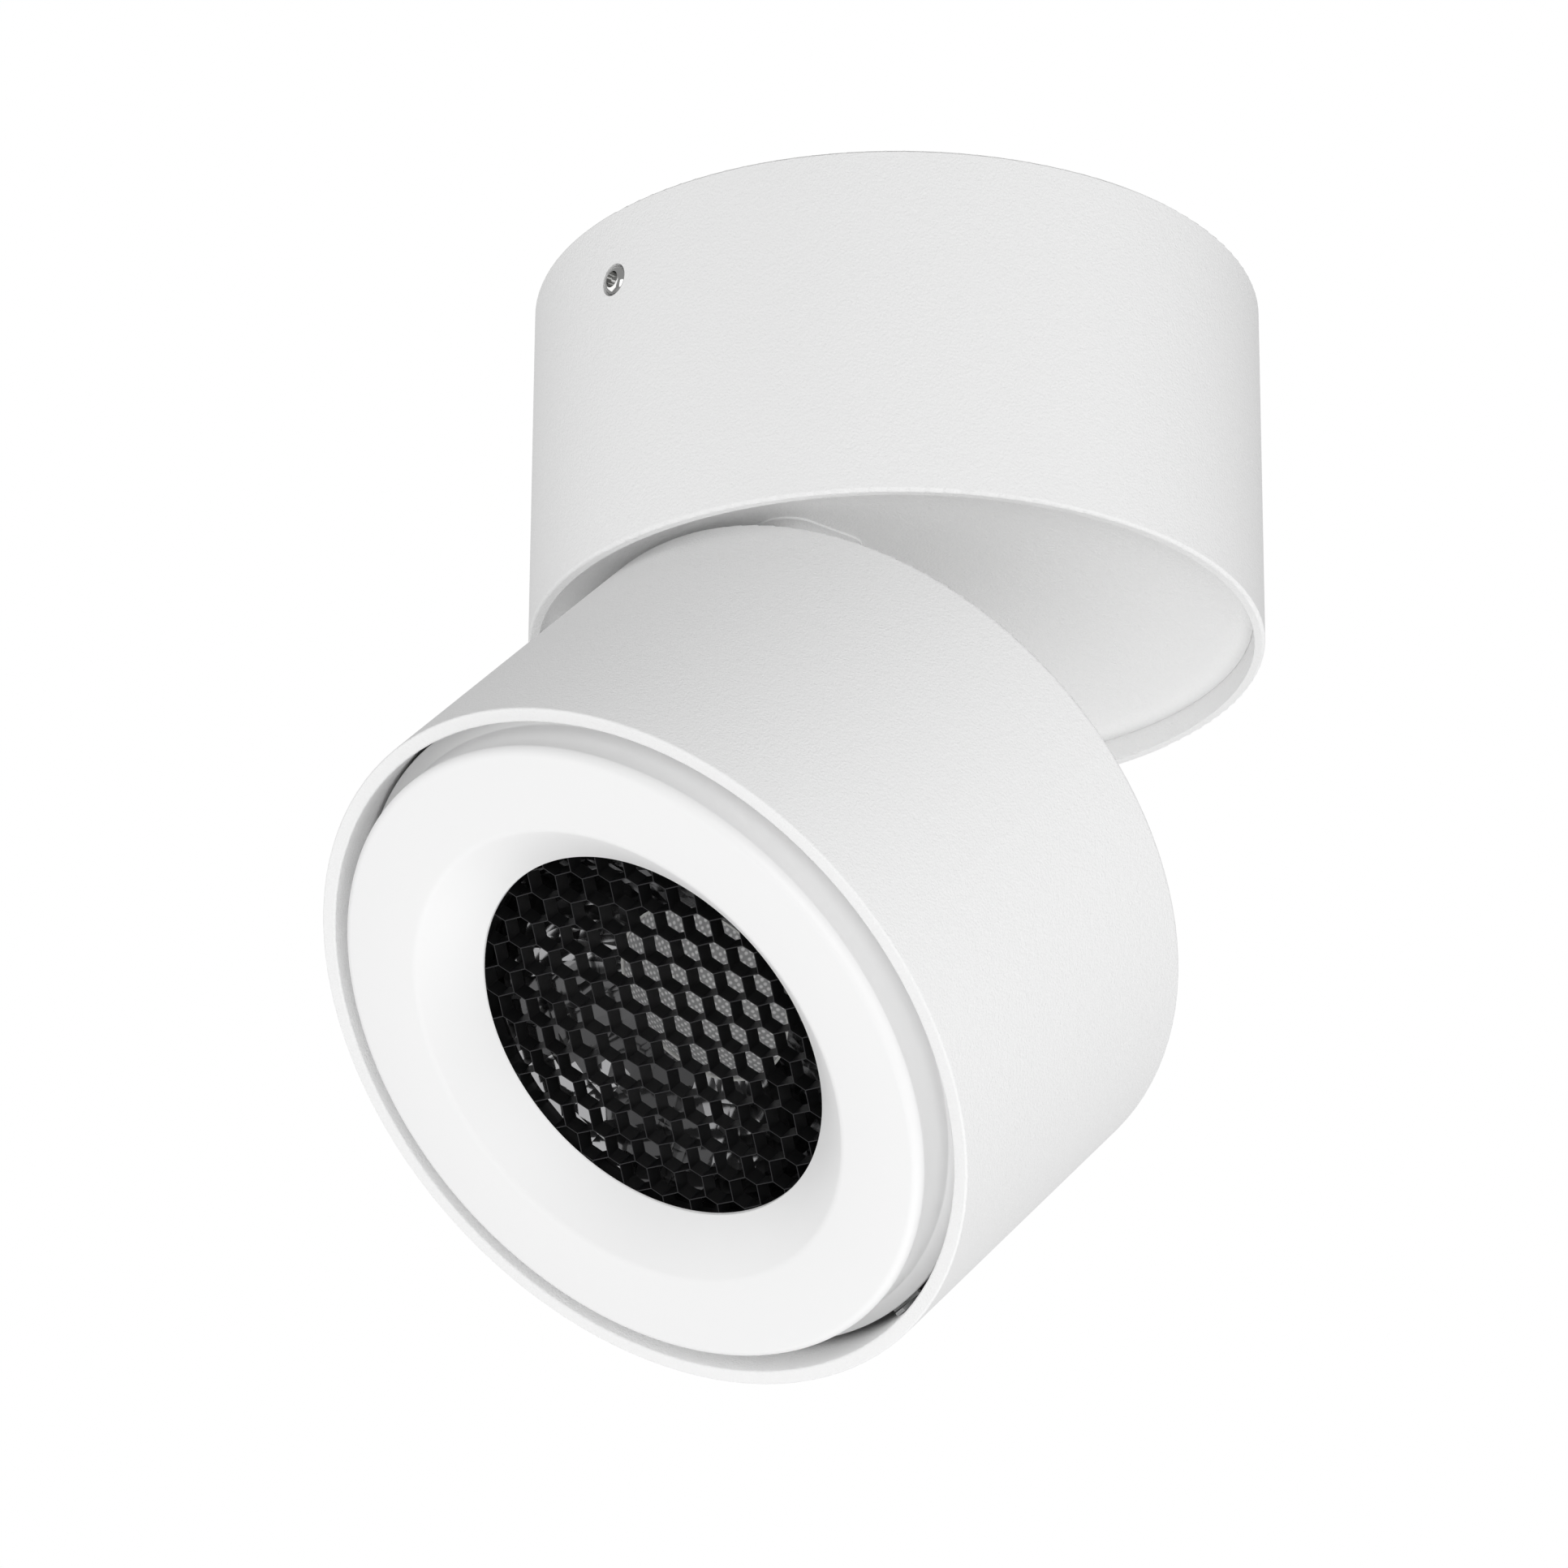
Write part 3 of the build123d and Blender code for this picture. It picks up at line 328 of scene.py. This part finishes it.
def dimpled_acrylic(name, settings):
    """Moulded acrylic whose fine field of dimples scatters the light: pale grey, with rows of bright dots painted
    as the dimples' glints.
    """
    dot_core, dot_edge = 0.18, 0.4  # as shares of the dimples' pitch
    made, tree, shader, place = begin(name, "#b9b9ba", 0.35, IOR=1.49)
    flat = add(tree, "ShaderNodeMapping", {"Vector": place, "Rotation": (REST_TILT, 0, 0)},
               vector_type="POINT")
    cells = add(tree, "ShaderNodeTexVoronoi", {"Vector": flat.outputs[0], "Scale": MM / settings.dimple,
                                               "Randomness": 0.25}, voronoi_dimensions="2D")
    # white dots in the middle of the dimples: painted glints
    dot = add(tree, "ShaderNodeMapRange", {"Value": cells.outputs["Distance"], "From Min": dot_core,
                                           "From Max": dot_edge, "To Min": 1.0, "To Max": 0.0})
    tone = add(tree, "ShaderNodeMix", {0: dot.outputs["Result"], 6: linear(settings.lens_colour),
                                       7: linear(settings.dimple_glint_colour)}, data_type="RGBA")
    bumps = add(tree, "ShaderNodeBump", {"Height": cells.outputs["Distance"], "Distance": 0.12 * MM})
    fill(tree, shader, {"Base Color": tone.outputs[2], "Normal": bumps.outputs["Normal"]})
    return made


def bright_nickel(name, settings):
    """Bright nickel plating on a pressed steel screw: polished, slightly warm."""
    haze_size = 0.4
    made, tree, shader, place = begin(name, settings.nickel, 0.08, Metallic=1.0)
    haze = add(tree, "ShaderNodeTexNoise", {"Vector": place, "Scale": 1 / haze_size})
    gloss = add(tree, "ShaderNodeMapRange", {"Value": haze.outputs["Fac"], "To Min": 0.05, "To Max": 0.14})
    fill(tree, shader, {"Roughness": gloss.outputs["Result"]})
    return made


def plain_metal(name, code, dark, roughness, size):
    """Plated or bare metal whose tone and gloss wander a little. Its grit, a quarter of the size of
    these clouds, is drawn coarser than the real one so that it shows."""
    made, tree, shader, place = begin(name, code, roughness, Metallic=1.0)
    cloud = add(tree, "ShaderNodeTexNoise", {"Vector": place, "Scale": 1 / size, "Detail": 3.0})
    grit = add(tree, "ShaderNodeTexNoise", {"Vector": place, "Scale": 4 / size})
    tone = add(tree, "ShaderNodeMix", {0: cloud.outputs["Fac"], 6: linear(dark), 7: linear(code)},
               data_type="RGBA")
    gloss = add(tree, "ShaderNodeMapRange", {"Value": cloud.outputs["Fac"], "To Min": roughness + 0.08,
                                             "To Max": roughness - 0.06})
    bumps = add(tree, "ShaderNodeBump", {"Height": grit.outputs["Fac"], "Distance": 0.006 * MM})
    fill(tree, shader, {"Base Color": tone.outputs[2], "Roughness": gloss.outputs["Result"],
                        "Normal": bumps.outputs["Normal"]})
    return made


def moulded_plastic(name, code, dark, roughness, size=0.5, depth=0.01):
    """Moulded plastic or rubber with the texture of its mould, drawn coarser than the real one so that
    it shows. Painted sheet has the same look, with shallower bumps."""
    cloud_size = 12.0
    made, tree, shader, place = begin(name, code, roughness)
    cloud = add(tree, "ShaderNodeTexNoise", {"Vector": place, "Scale": 1 / cloud_size})
    grit = add(tree, "ShaderNodeTexNoise", {"Vector": place, "Scale": 1 / size})
    tone = add(tree, "ShaderNodeMix", {0: cloud.outputs["Fac"], 6: linear(dark), 7: linear(code)},
               data_type="RGBA")
    bumps = add(tree, "ShaderNodeBump", {"Height": grit.outputs["Fac"], "Distance": depth * MM})
    fill(tree, shader, {"Base Color": tone.outputs[2], "Normal": bumps.outputs["Normal"]})
    return made


def all_finishes(scene):
    """Material of every slot of the record, by slot name."""
    finish, louvre, optics = scene.spotlight_finish, scene.spotlight_louvre, scene.spotlight_optics
    return {
        "white_powder_coat": powder_coated_aluminium("powder_coated_aluminium", finish),
        "white_satin_lacquer": satin_lacquered_casting("satin_lacquered_casting", finish),
        "black_anodised_foil": black_anodised_foil("black_anodised_foil", louvre),
        # the louvre's front edges: bare cut metal with a painted highlight
        "cut_foil_edge": cut_foil_edge("cut_foil_edge", louvre),
        "metallised_reflector": metallised_polycarbonate("metallised_polycarbonate", optics),
        "clear_acrylic": dimpled_acrylic("dimpled_acrylic", optics),
        "nickel_plated_steel": bright_nickel("bright_nickel", finish),
        "white_painted_steel": moulded_plastic(
            "painted_steel_sheet", "#eeeeed", "#e8e8e7", 0.45, 0.8, 0.006),
        "zinc_plated_steel": plain_metal("zinc_plated_steel", "#b9bcbe", "#9ea2a5", 0.34, 2.0),
        "spring_steel": plain_metal("hardened_spring_steel", "#8d8e90", "#77797b", 0.3, 1.2),
        "nickel_brass": plain_metal("nickel_plated_brass", "#cfc6ab", "#b9af92", 0.28, 1.5),
        "cast_aluminium": plain_metal("shot_blasted_aluminium_casting", "#a9abad", "#93969a", 0.5, 0.8),
        "black_rubber": moulded_plastic("moulded_epdm_rubber", "#1c1c1c", "#141414", 0.62, 0.4, 0.012),
        "white_polycarbonate": moulded_plastic("moulded_polycarbonate", "#ebebe8", "#e2e2df", 0.4),
        "grey_polyamide": moulded_plastic("moulded_polyamide", "#a3a4a4", "#989999", 0.5),
        "grey_polyamide_clip": moulded_plastic("moulded_acetal", "#b4b5b5", "#a9aaaa", 0.45),
        "grey_silicone": moulded_plastic("filled_silicone_sheet", "#7c8186", "#70757a", 0.7, 0.25, 0.015),
        "green_circuit_board": moulded_plastic("green_solder_mask", "#1f5a36", "#194a2c", 0.3, 1.2, 0.01),
        "white_solder_mask": moulded_plastic("white_solder_mask", "#ecece9", "#e2e2de", 0.28, 1.5, 0.004),
        "yellow_phosphor": moulded_plastic("phosphor_in_silicone", "#e0b53c", "#d2a52f", 0.35, 0.2, 0.01),
    }


def finish_of(slot):
    """Material of a slot, made on first use."""
    scene = bpy.context.scene
    if "spotlight_finishes" not in scene:
        scene["spotlight_finishes"] = {name: made.name for name, made in all_finishes(scene).items()}
    return bpy.data.materials[scene["spotlight_finishes"][slot]]


# ---------------------------------------------------------------- mesh helpers
# corners that are closer than this are taken as one
NEAR = 0.001 * MM
# of the noise that moves corners, so that every run gives the same shape
SEED = 2


def outline(bm, points):
    """Closed outline of (radius, height) points in the XZ plane."""
    corners = [bm.verts.new((r, 0.0, z)) for r, z in points]
    sides = [bm.edges.new((corners[i - 1], corners[i])) for i in range(len(corners))]
    return corners + sides


def spun(points, steps):
    """Ring turned about Z from a closed outline."""
    bm = bmesh.new()
    bmesh.ops.spin(bm, geom=outline(bm, points), cent=(0, 0, 0), axis=(0, 0, 1), dvec=(0, 0, 0),
                   angle=2 * math.pi, steps=steps, use_merge=True, use_duplicate=False)
    bmesh.ops.remove_doubles(bm, verts=bm.verts, dist=NEAR)
    # a side of the outline that lies on the axis makes no face
    bmesh.ops.delete(bm, geom=[e for e in bm.edges if not e.link_faces], context="EDGES")
    bmesh.ops.recalc_face_normals(bm, faces=bm.faces)
    return bm


def on_circle(edge, radius, height):
    """Whether an edge lies along the circle of that radius and height about Z."""
    return all(abs(math.hypot(v.co.x, v.co.y) - radius) < NEAR and abs(v.co.z - height) < NEAR
               for v in edge.verts)


def curve(start, middle, end, steps):
    """Points of a smooth curve through three (radius, height) places."""
    pull = [2 * m - (a + b) / 2 for a, m, b in zip(start, middle, end)]
    return [tuple((1 - t) ** 2 * a + 2 * t * (1 - t) * c + t * t * b for a, c, b in zip(start, pull, end))
            for t in (i / steps for i in range(steps + 1))]


def join(bm, other):
    """Adds another bmesh to this one."""
    mesh = bpy.data.meshes.new("other")
    other.to_mesh(mesh)
    other.free()
    bm.from_mesh(mesh)
    bpy.data.meshes.remove(mesh)


def merged(node):
    """Copy of a node's mesh with its corners joined."""
    bm = bmesh.new()
    bm.from_mesh(frame["nodes"][node].data)
    bmesh.ops.remove_doubles(bm, verts=bm.verts, dist=NEAR)
    bmesh.ops.recalc_face_normals(bm, faces=bm.faces)
    return bm


def soften(bm, radius, height, offset, segments):
    """Rounds the ring edge at a radius and height."""
    ring = [e for e in bm.edges if on_circle(e, radius, height)]
    if not ring:
        raise RuntimeError(f"there is no ring edge at radius {radius} and height {height}")
    bmesh.ops.bevel(bm, geom=ring, offset=offset, offset_type="OFFSET", segments=segments, profile=0.5,
                    affect="EDGES", clamp_overlap=True, material=-1)


def shake(verts, waves, push):
    """Moves corners by up to about push, a length for each axis, with noise whose waves measure waves."""
    noise.seed_set(SEED)
    for vert in verts:
        vert.co += noise.noise_vector(vert.co / waves) * Vector(push)


def piece(bm, name, body, slots, replaces, matrix=Matrix(), crease=None):
    """Turns a bmesh into a finished piece that rides on a body and replaces a node. The first slot is
    the piece's own. Faces that meet at more than crease degrees keep a sharp edge, and without it
    all faces are flat."""
    bm.transform(matrix)
    mesh = bpy.data.meshes.new(name)
    bm.to_mesh(mesh)
    bm.free()
    if crease is not None:
        mesh.shade_smooth()
        mesh.set_sharp_from_angle(angle=math.radians(crease))
    for slot in slots:
        mesh.materials.append(finish_of(slot))
    made = bpy.data.objects.new(name, mesh)
    bpy.context.scene.collection.objects.link(made)
    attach(made, body)
    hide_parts(replaces)


# ---------------------------------------------------------------- stage
FLOOR_REACH = 4.0  # metres from the floor's middle to its sides
SENSOR = 36.0  # width of the camera's sensor, in millimetres
BOX_SIZE = 1.2  # side of a soft box, in metres
BOX_DISTANCE = 1.3  # of a soft box from the spotlight's middle, in metres
SPOTLIGHT_MIDDLE = Vector((0, -0.02, -0.08))
# where each soft box stands, in the camera's right, up and back
SOFT_BOXES = {
    "front": (0.0, 0.0, 1.0),
    "front_right": (0.8, 0.0, 0.6),
    "below": (0.0, -1.0, 0.0),
    "right": (1.0, 0.0, 0.0),
    "left": (-1.0, 0.0, 0.0),
}


def lay_floor(scene, stage):
    """White floor under the spotlight."""
    mesh = bpy.data.meshes.new("floor")
    bm = bmesh.new()
    bmesh.ops.create_grid(bm, x_segments=1, y_segments=1, size=FLOOR_REACH,
                          matrix=Matrix.Translation((0, 0, -stage.floor_drop)))
    bm.to_mesh(mesh)
    bm.free()
    mesh.materials.append(moulded_plastic("matt_floor", stage.floor, stage.floor, 0.8, 3.0))
    floor = bpy.data.objects.new("floor", mesh)
    scene.collection.objects.link(floor)


def light_sky(scene, stage):
    """Even light from all round, in front of which the camera sees plain white."""
    world = bpy.data.worlds.new("studio")
    world.use_nodes = True
    tree = world.node_tree
    light = tree.nodes["Background"]
    fill(tree, light, {"Color": (1, 1, 1, 1), "Strength": stage.sky})
    white = add(tree, "ShaderNodeBackground", {"Color": (1, 1, 1, 1), "Strength": 1.0})
    path = add(tree, "ShaderNodeLightPath")
    both = add(tree, "ShaderNodeMixShader", {0: path.outputs["Is Camera Ray"], 1: light.outputs[0],
                                             2: white.outputs[0]})
    fill(tree, tree.nodes["World Output"], {"Surface": both.outputs[0]})
    scene.world = world


def aim_camera(scene, stage):
    """Camera at the photograph's place. Gives its right, up and back."""
    back = Vector((math.sin(stage.azimuth) * math.cos(stage.elevation),
                   -math.cos(stage.azimuth) * math.cos(stage.elevation), math.sin(stage.elevation)))
    level = Vector((math.cos(stage.azimuth), math.sin(stage.azimuth), 0))
    upright = back.cross(level)
    right = math.cos(stage.roll) * level + math.sin(stage.roll) * upright
    up = math.cos(stage.roll) * upright - math.sin(stage.roll) * level
    data = bpy.data.cameras.new("camera")
    data.sensor_width = SENSOR
    data.lens = SENSOR * stage.focal_pixels / stage.photo_width
    camera = bpy.data.objects.new("camera", data)
    place = Vector((0, 0, RIM_Z)) + back * stage.distance - right * stage.aside - up * stage.above
    camera.matrix_world = Matrix.Translation(place) @ Matrix((right, up, back)).transposed().to_4x4()
    scene.collection.objects.link(camera)
    scene.camera = camera
    return right, up, back


def light_boxes(scene, stage, right, up, back):
    """Soft boxes round the spotlight, which the camera doesn't see."""
    for name, toward in SOFT_BOXES.items():
        data = bpy.data.lights.new(name, "AREA")
        data.shape = "SQUARE"
        data.size = BOX_SIZE
        data.energy = getattr(stage, name + "_box")
        lamp = bpy.data.objects.new(name, data)
        away = (right * toward[0] + up * toward[1] + back * toward[2]).normalized()
        lamp.location = SPOTLIGHT_MIDDLE + away * BOX_DISTANCE
        lamp.rotation_euler = away.to_track_quat("Z", "Y").to_euler()
        lamp.visible_camera = False
        scene.collection.objects.link(lamp)


# ---------------------------------------------------------------- operators
class SPOTLIGHT_OT_dress(bpy.types.Operator):
    """Gives every carried-over solid its finish"""
    bl_idname = "spotlight.dress"
    bl_label = "Finishes of the solids"

    def execute(self, context):
        for row in frame["record"]["subparts"]:
            kept = frame["nodes"][row["node"]]
            kept.data.materials.clear()
            kept.data.materials.append(finish_of(row["material_slot"]))
        return {"FINISHED"}


class SPOTLIGHT_OT_disc(bpy.types.Operator):
    """Copies the swivel disc and closes the seam round it to a hair line"""
    bl_idname = "spotlight.disc"
    bl_label = "Swivel disc"

    def execute(self, context):
        bm = merged("swivel_disc")
        edge_band = 0.02 * MM
        radius = max(vert.co.to_2d().length for vert in bm.verts)
        wide = radius + context.scene.spotlight_finish.seam
        for vert in bm.verts:
            if vert.co.to_2d().length > radius - edge_band:
                vert.co.xy *= wide / radius
        piece(bm, "disc_plate", "swivel", ("white_powder_coat",), "swivel_disc", crease=30.0)
        return {"FINISHED"}


class SPOTLIGHT_OT_ring(bpy.types.Operator):
    """Makes the white front ring with its hollow side and its cone"""
    bl_idname = "spotlight.ring"
    bl_label = "Front ring"

    def execute(self, context):
        size = context.scene.spotlight_ring
        face, skin = -size.face_proud, size.skin
        louvre_front = context.scene.spotlight_louvre.front
        lip_back = size.lip_radius + 1.5 * skin
        side = curve((size.face_radius, face + size.face_wall), (size.waist_radius, size.waist_depth),
                     (size.ridge_radius, size.ridge_depth), 20)
        bm = spun([
            (size.lip_radius, size.lip_depth), (size.cone_radius, face), (size.face_radius, face), *side,
            (size.flange_radius, size.flange_depth), (size.flange_radius, size.back),
            (size.flange_radius - skin, size.back), (size.flange_radius - skin, size.flange_depth + skin),
            (size.waist_radius - skin, size.ridge_depth), (size.waist_radius - skin, face + skin),
            (size.cone_radius + skin, face + skin), (lip_back, louvre_front),
            (size.lip_radius, louvre_front)], 256)
        soften(bm, size.face_radius, face, size.face_round, 5)
        soften(bm, size.cone_radius, face, size.cone_round, 3)
        for radius, depth, small_round in (
                (size.lip_radius, size.lip_depth, 0.12 * MM),
                (size.ridge_radius, size.ridge_depth, 0.15 * MM),
                (size.flange_radius, size.flange_depth, 0.2 * MM)):
            soften(bm, radius, depth, small_round, 2)
        # the ring sits askew, but the back of its lip stays flat on the louvre
        clear_of_louvre = 0.02 * MM
        seat = [v for v in bm.verts
                if abs(v.co.z - louvre_front) < NEAR and v.co.to_2d().length < lip_back + NEAR]
        bm.transform(Matrix.Translation((0, -size.drop, 0)) @ Matrix.Rotation(size.lean, 4, "Y"))
        for vert in seat:
            vert.co.z = louvre_front - clear_of_louvre
        piece(bm, "front_ring", "head", ("white_satin_lacquer",), "trim_ring",
              HEAD @ Matrix.Translation((0, 0, FRONT_Z)), crease=35.0)
        return {"FINISHED"}


class SPOTLIGHT_OT_louvre(bpy.types.Operator):
    """Makes the black honeycomb louvre from folded foil"""
    bl_idname = "spotlight.louvre"
    bl_label = "Honeycomb louvre"

    def execute(self, context):
        size = context.scene.spotlight_louvre
        clear = size.radius - size.frame_wall / 2
        bm = self.cells(size, clear)
        frame_sides = 48
        for i in range(frame_sides):
            turn = 2 * math.pi * i / frame_sides
            out = Vector((math.cos(turn), math.sin(turn), 0))
            bmesh.ops.bisect_plane(bm, geom=bm.verts[:] + bm.edges[:] + bm.faces[:], plane_co=out * clear,
                                   plane_no=out, clear_outer=True)
        wall = bmesh.ops.extrude_face_region(bm, geom=bm.faces[:])
        bmesh.ops.translate(bm, vec=(0, 0, size.depth),
                            verts=[v for v in wall["geom"] if isinstance(v, bmesh.types.BMVert)])
        bmesh.ops.recalc_face_normals(bm, faces=bm.faces)
        for face in bm.faces:
            # the front faces of the foil take the edge finish, partly bare cut metal and partly painted highlight
            face.material_index = 1 if face.normal.z < -0.5 else 0
        inside = size.radius - size.frame_wall
        join(bm, spun([(size.radius, 0), (size.radius, size.depth), (inside, size.depth), (inside, 0)], 96))
        piece(bm, "honeycomb_louvre", "head", ("black_anodised_foil", "cut_foil_edge"), "louvre",
              HEAD @ Matrix.Translation((0, 0, FRONT_Z + size.front)), crease=20.0)
        return {"FINISHED"}

    def cells(self, size, clear):
        """Edges of the foil, as flat faces, of all cells within the radius clear."""
        # opposite sides of a cell are alike, so three folds give all its corners
        folds = [Vector((*fold, 0)) for fold in (size.fold_1, size.fold_2, size.fold_3)]
        corners = [-(folds[0] + folds[1] + folds[2]) / 2]
        for fold in (*folds, *(-fold for fold in folds[:2])):
            corners.append(corners[-1] + fold)
        one, other = folds[0] + folds[1], folds[1] + folds[2]
        reach = int(2 * size.radius / other.length) + 2
        bm = bmesh.new()
        for i in range(-reach, reach + 1):
            for j in range(-reach, reach + 1):
                place = Vector((*size.middle, 0)) + i * one + j * other
                if place.length < clear + other.length:
                    cell = bmesh.ops.create_circle(bm, cap_ends=True, segments=6, radius=size.foil)
                    for vert, corner in zip(cell["verts"], corners):
                        vert.co = place + corner
        bmesh.ops.remove_doubles(bm, verts=bm.verts, dist=size.foil / 4)
        shake(bm.verts, 0.9 * other.length, (size.wander, size.wander, 0))
        bmesh.ops.inset_individual(bm, faces=bm.faces, thickness=size.foil / 2, use_even_offset=True)
        bmesh.ops.delete(bm, geom=[f for f in bm.faces if len(f.verts) == 6], context="FACES_ONLY")
        return bm


class SPOTLIGHT_OT_reflector(bpy.types.Operator):
    """Makes the faceted mirror reflector behind the louvre"""
    bl_idname = "spotlight.reflector"
    bl_label = "Faceted reflector"

    def execute(self, context):
        size = context.scene.spotlight_optics
        louvre = context.scene.spotlight_louvre
        low = FRONT_Z + louvre.front + louvre.depth
        high = low + size.reflector_length
        side = []
        for i in range(size.rings + 1):
            t = i / size.rings
            r = size.mouth + (size.throat - size.mouth) * t + 4 * size.bulge * t * (1 - t)
            side.append((r, low + (high - low) * t))
        (mouth, _), *rest = side
        back = [(mouth + size.wall / 2, low + size.flange), *((r + size.wall, z) for r, z in rest)]
        rim = [(louvre.radius, low + size.flange), (louvre.radius, low)]
        bm = spun([*side, *back[::-1], *rim], size.facets)
        between = [v for v in bm.verts if low + size.flange < v.co.z < high - size.flange]
        shake(between, 2 * MM, (size.unevenness, size.unevenness, size.unevenness))
        piece(bm, "faceted_reflector", "head", ("metallised_reflector",), "reflector", HEAD)
        return {"FINISHED"}


class SPOTLIGHT_OT_lens(bpy.types.Operator):
    """Makes the domed lens over the light source"""
    bl_idname = "spotlight.lens"
    bl_label = "Lens"

    def execute(self, context):
        size = context.scene.spotlight_optics
        louvre = context.scene.spotlight_louvre
        rim = FRONT_Z + louvre.front + louvre.depth + size.reflector_length + size.lens_gap
        ball = (size.lens_radius ** 2 + size.lens_rise ** 2) / (2 * size.lens_rise)
        steps = 16
        dome = [(ball * math.sin(a), rim - size.lens_rise + ball - ball * math.cos(a))
                for a in (math.asin(size.lens_radius / ball) * i / steps for i in range(steps + 1))]
        bm = spun([*dome, (size.lens_radius, rim + size.lens_rim), (0, rim + size.lens_rim)], 96)
        piece(bm, "domed_lens", "head", ("clear_acrylic",), "lens", HEAD, crease=30.0)
        return {"FINISHED"}


class SPOTLIGHT_OT_screws(bpy.types.Operator):
    """Makes the two domed side screws with their deep recess"""
    bl_idname = "spotlight.screws"
    bl_label = "Side screws"

    def execute(self, context):
        size = context.scene.spotlight_screws
        low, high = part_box("side_screws")
        apart, middle = high.y - low.y, (low.z + high.z) / 2
        hollow = curve((0.6 * size.recess, -size.recess_depth),
                       (0.85 * size.recess, -0.7 * size.recess_depth), (size.recess, 0), 6)
        dome = curve((size.recess, 0), (0.8 * size.radius, -0.25 * size.dome), (size.radius, -size.dome), 8)
        shank = [(size.radius, -size.height), (size.shank, -size.height), (size.shank, -size.length),
                 (0, -size.length)]
        bm = bmesh.new()
        for turn in (0, math.pi):
            one = spun([(0, -size.recess_depth), *hollow, *dome[1:], *shank], 48)
            one.transform(Matrix.Rotation(turn, 4, "Z") @ Matrix.Translation((0, -apart / 2, middle))
                          @ Matrix.Rotation(math.pi / 2, 4, "X"))
            join(bm, one)
        piece(bm, "domed_side_screws", "base", ("nickel_plated_steel",), "side_screws", crease=40.0)
        return {"FINISHED"}


class SPOTLIGHT_OT_stage(bpy.types.Operator):
    """Sets up the floor, the soft studio light and the camera"""
    bl_idname = "spotlight.stage"
    bl_label = "Stage"

    def execute(self, context):
        scene = context.scene
        stage = scene.spotlight_stage
        scene.view_settings.view_transform = "Standard"
        lay_floor(scene, stage)
        light_sky(scene, stage)
        light_boxes(scene, stage, *aim_camera(scene, stage))
        return {"FINISHED"}


OPERATORS = (
    SPOTLIGHT_OT_dress, SPOTLIGHT_OT_disc, SPOTLIGHT_OT_ring, SPOTLIGHT_OT_louvre,
    SPOTLIGHT_OT_reflector, SPOTLIGHT_OT_lens, SPOTLIGHT_OT_screws, SPOTLIGHT_OT_stage,
)


class SPOTLIGHT_PT_panel(bpy.types.Panel):
    """Sizes, colours and pieces of the spotlight"""
    bl_idname = "SPOTLIGHT_PT_panel"
    bl_label = "Ceiling spotlight"
    bl_space_type = "VIEW_3D"
    bl_region_type = "UI"
    bl_category = "Spotlight"

    def draw(self, context):
        for name, group in GROUPS.items():
            box = self.layout.box()
            box.label(text=group.__doc__)
            for setting in group.__annotations__:
                box.prop(getattr(context.scene, name), setting)
        for operator in OPERATORS:
            self.layout.operator(operator.bl_idname)


def register():
    for made in (*GROUPS.values(), *OPERATORS, SPOTLIGHT_PT_panel):
        bpy.utils.register_class(made)
    for name, group in GROUPS.items():
        setattr(bpy.types.Scene, name, bpy.props.PointerProperty(type=group))


def unregister():
    for name in GROUPS:
        delattr(bpy.types.Scene, name)
    for made in (SPOTLIGHT_PT_panel, *reversed(OPERATORS), *reversed(GROUPS.values())):
        bpy.utils.unregister_class(made)


def main():
    register()
    bpy.ops.spotlight.dress()
    bpy.ops.spotlight.disc()
    bpy.ops.spotlight.ring()
    bpy.ops.spotlight.louvre()
    bpy.ops.spotlight.reflector()
    bpy.ops.spotlight.lens()
    bpy.ops.spotlight.screws()
    bpy.ops.spotlight.stage()


if __name__ == "__main__":
    main()
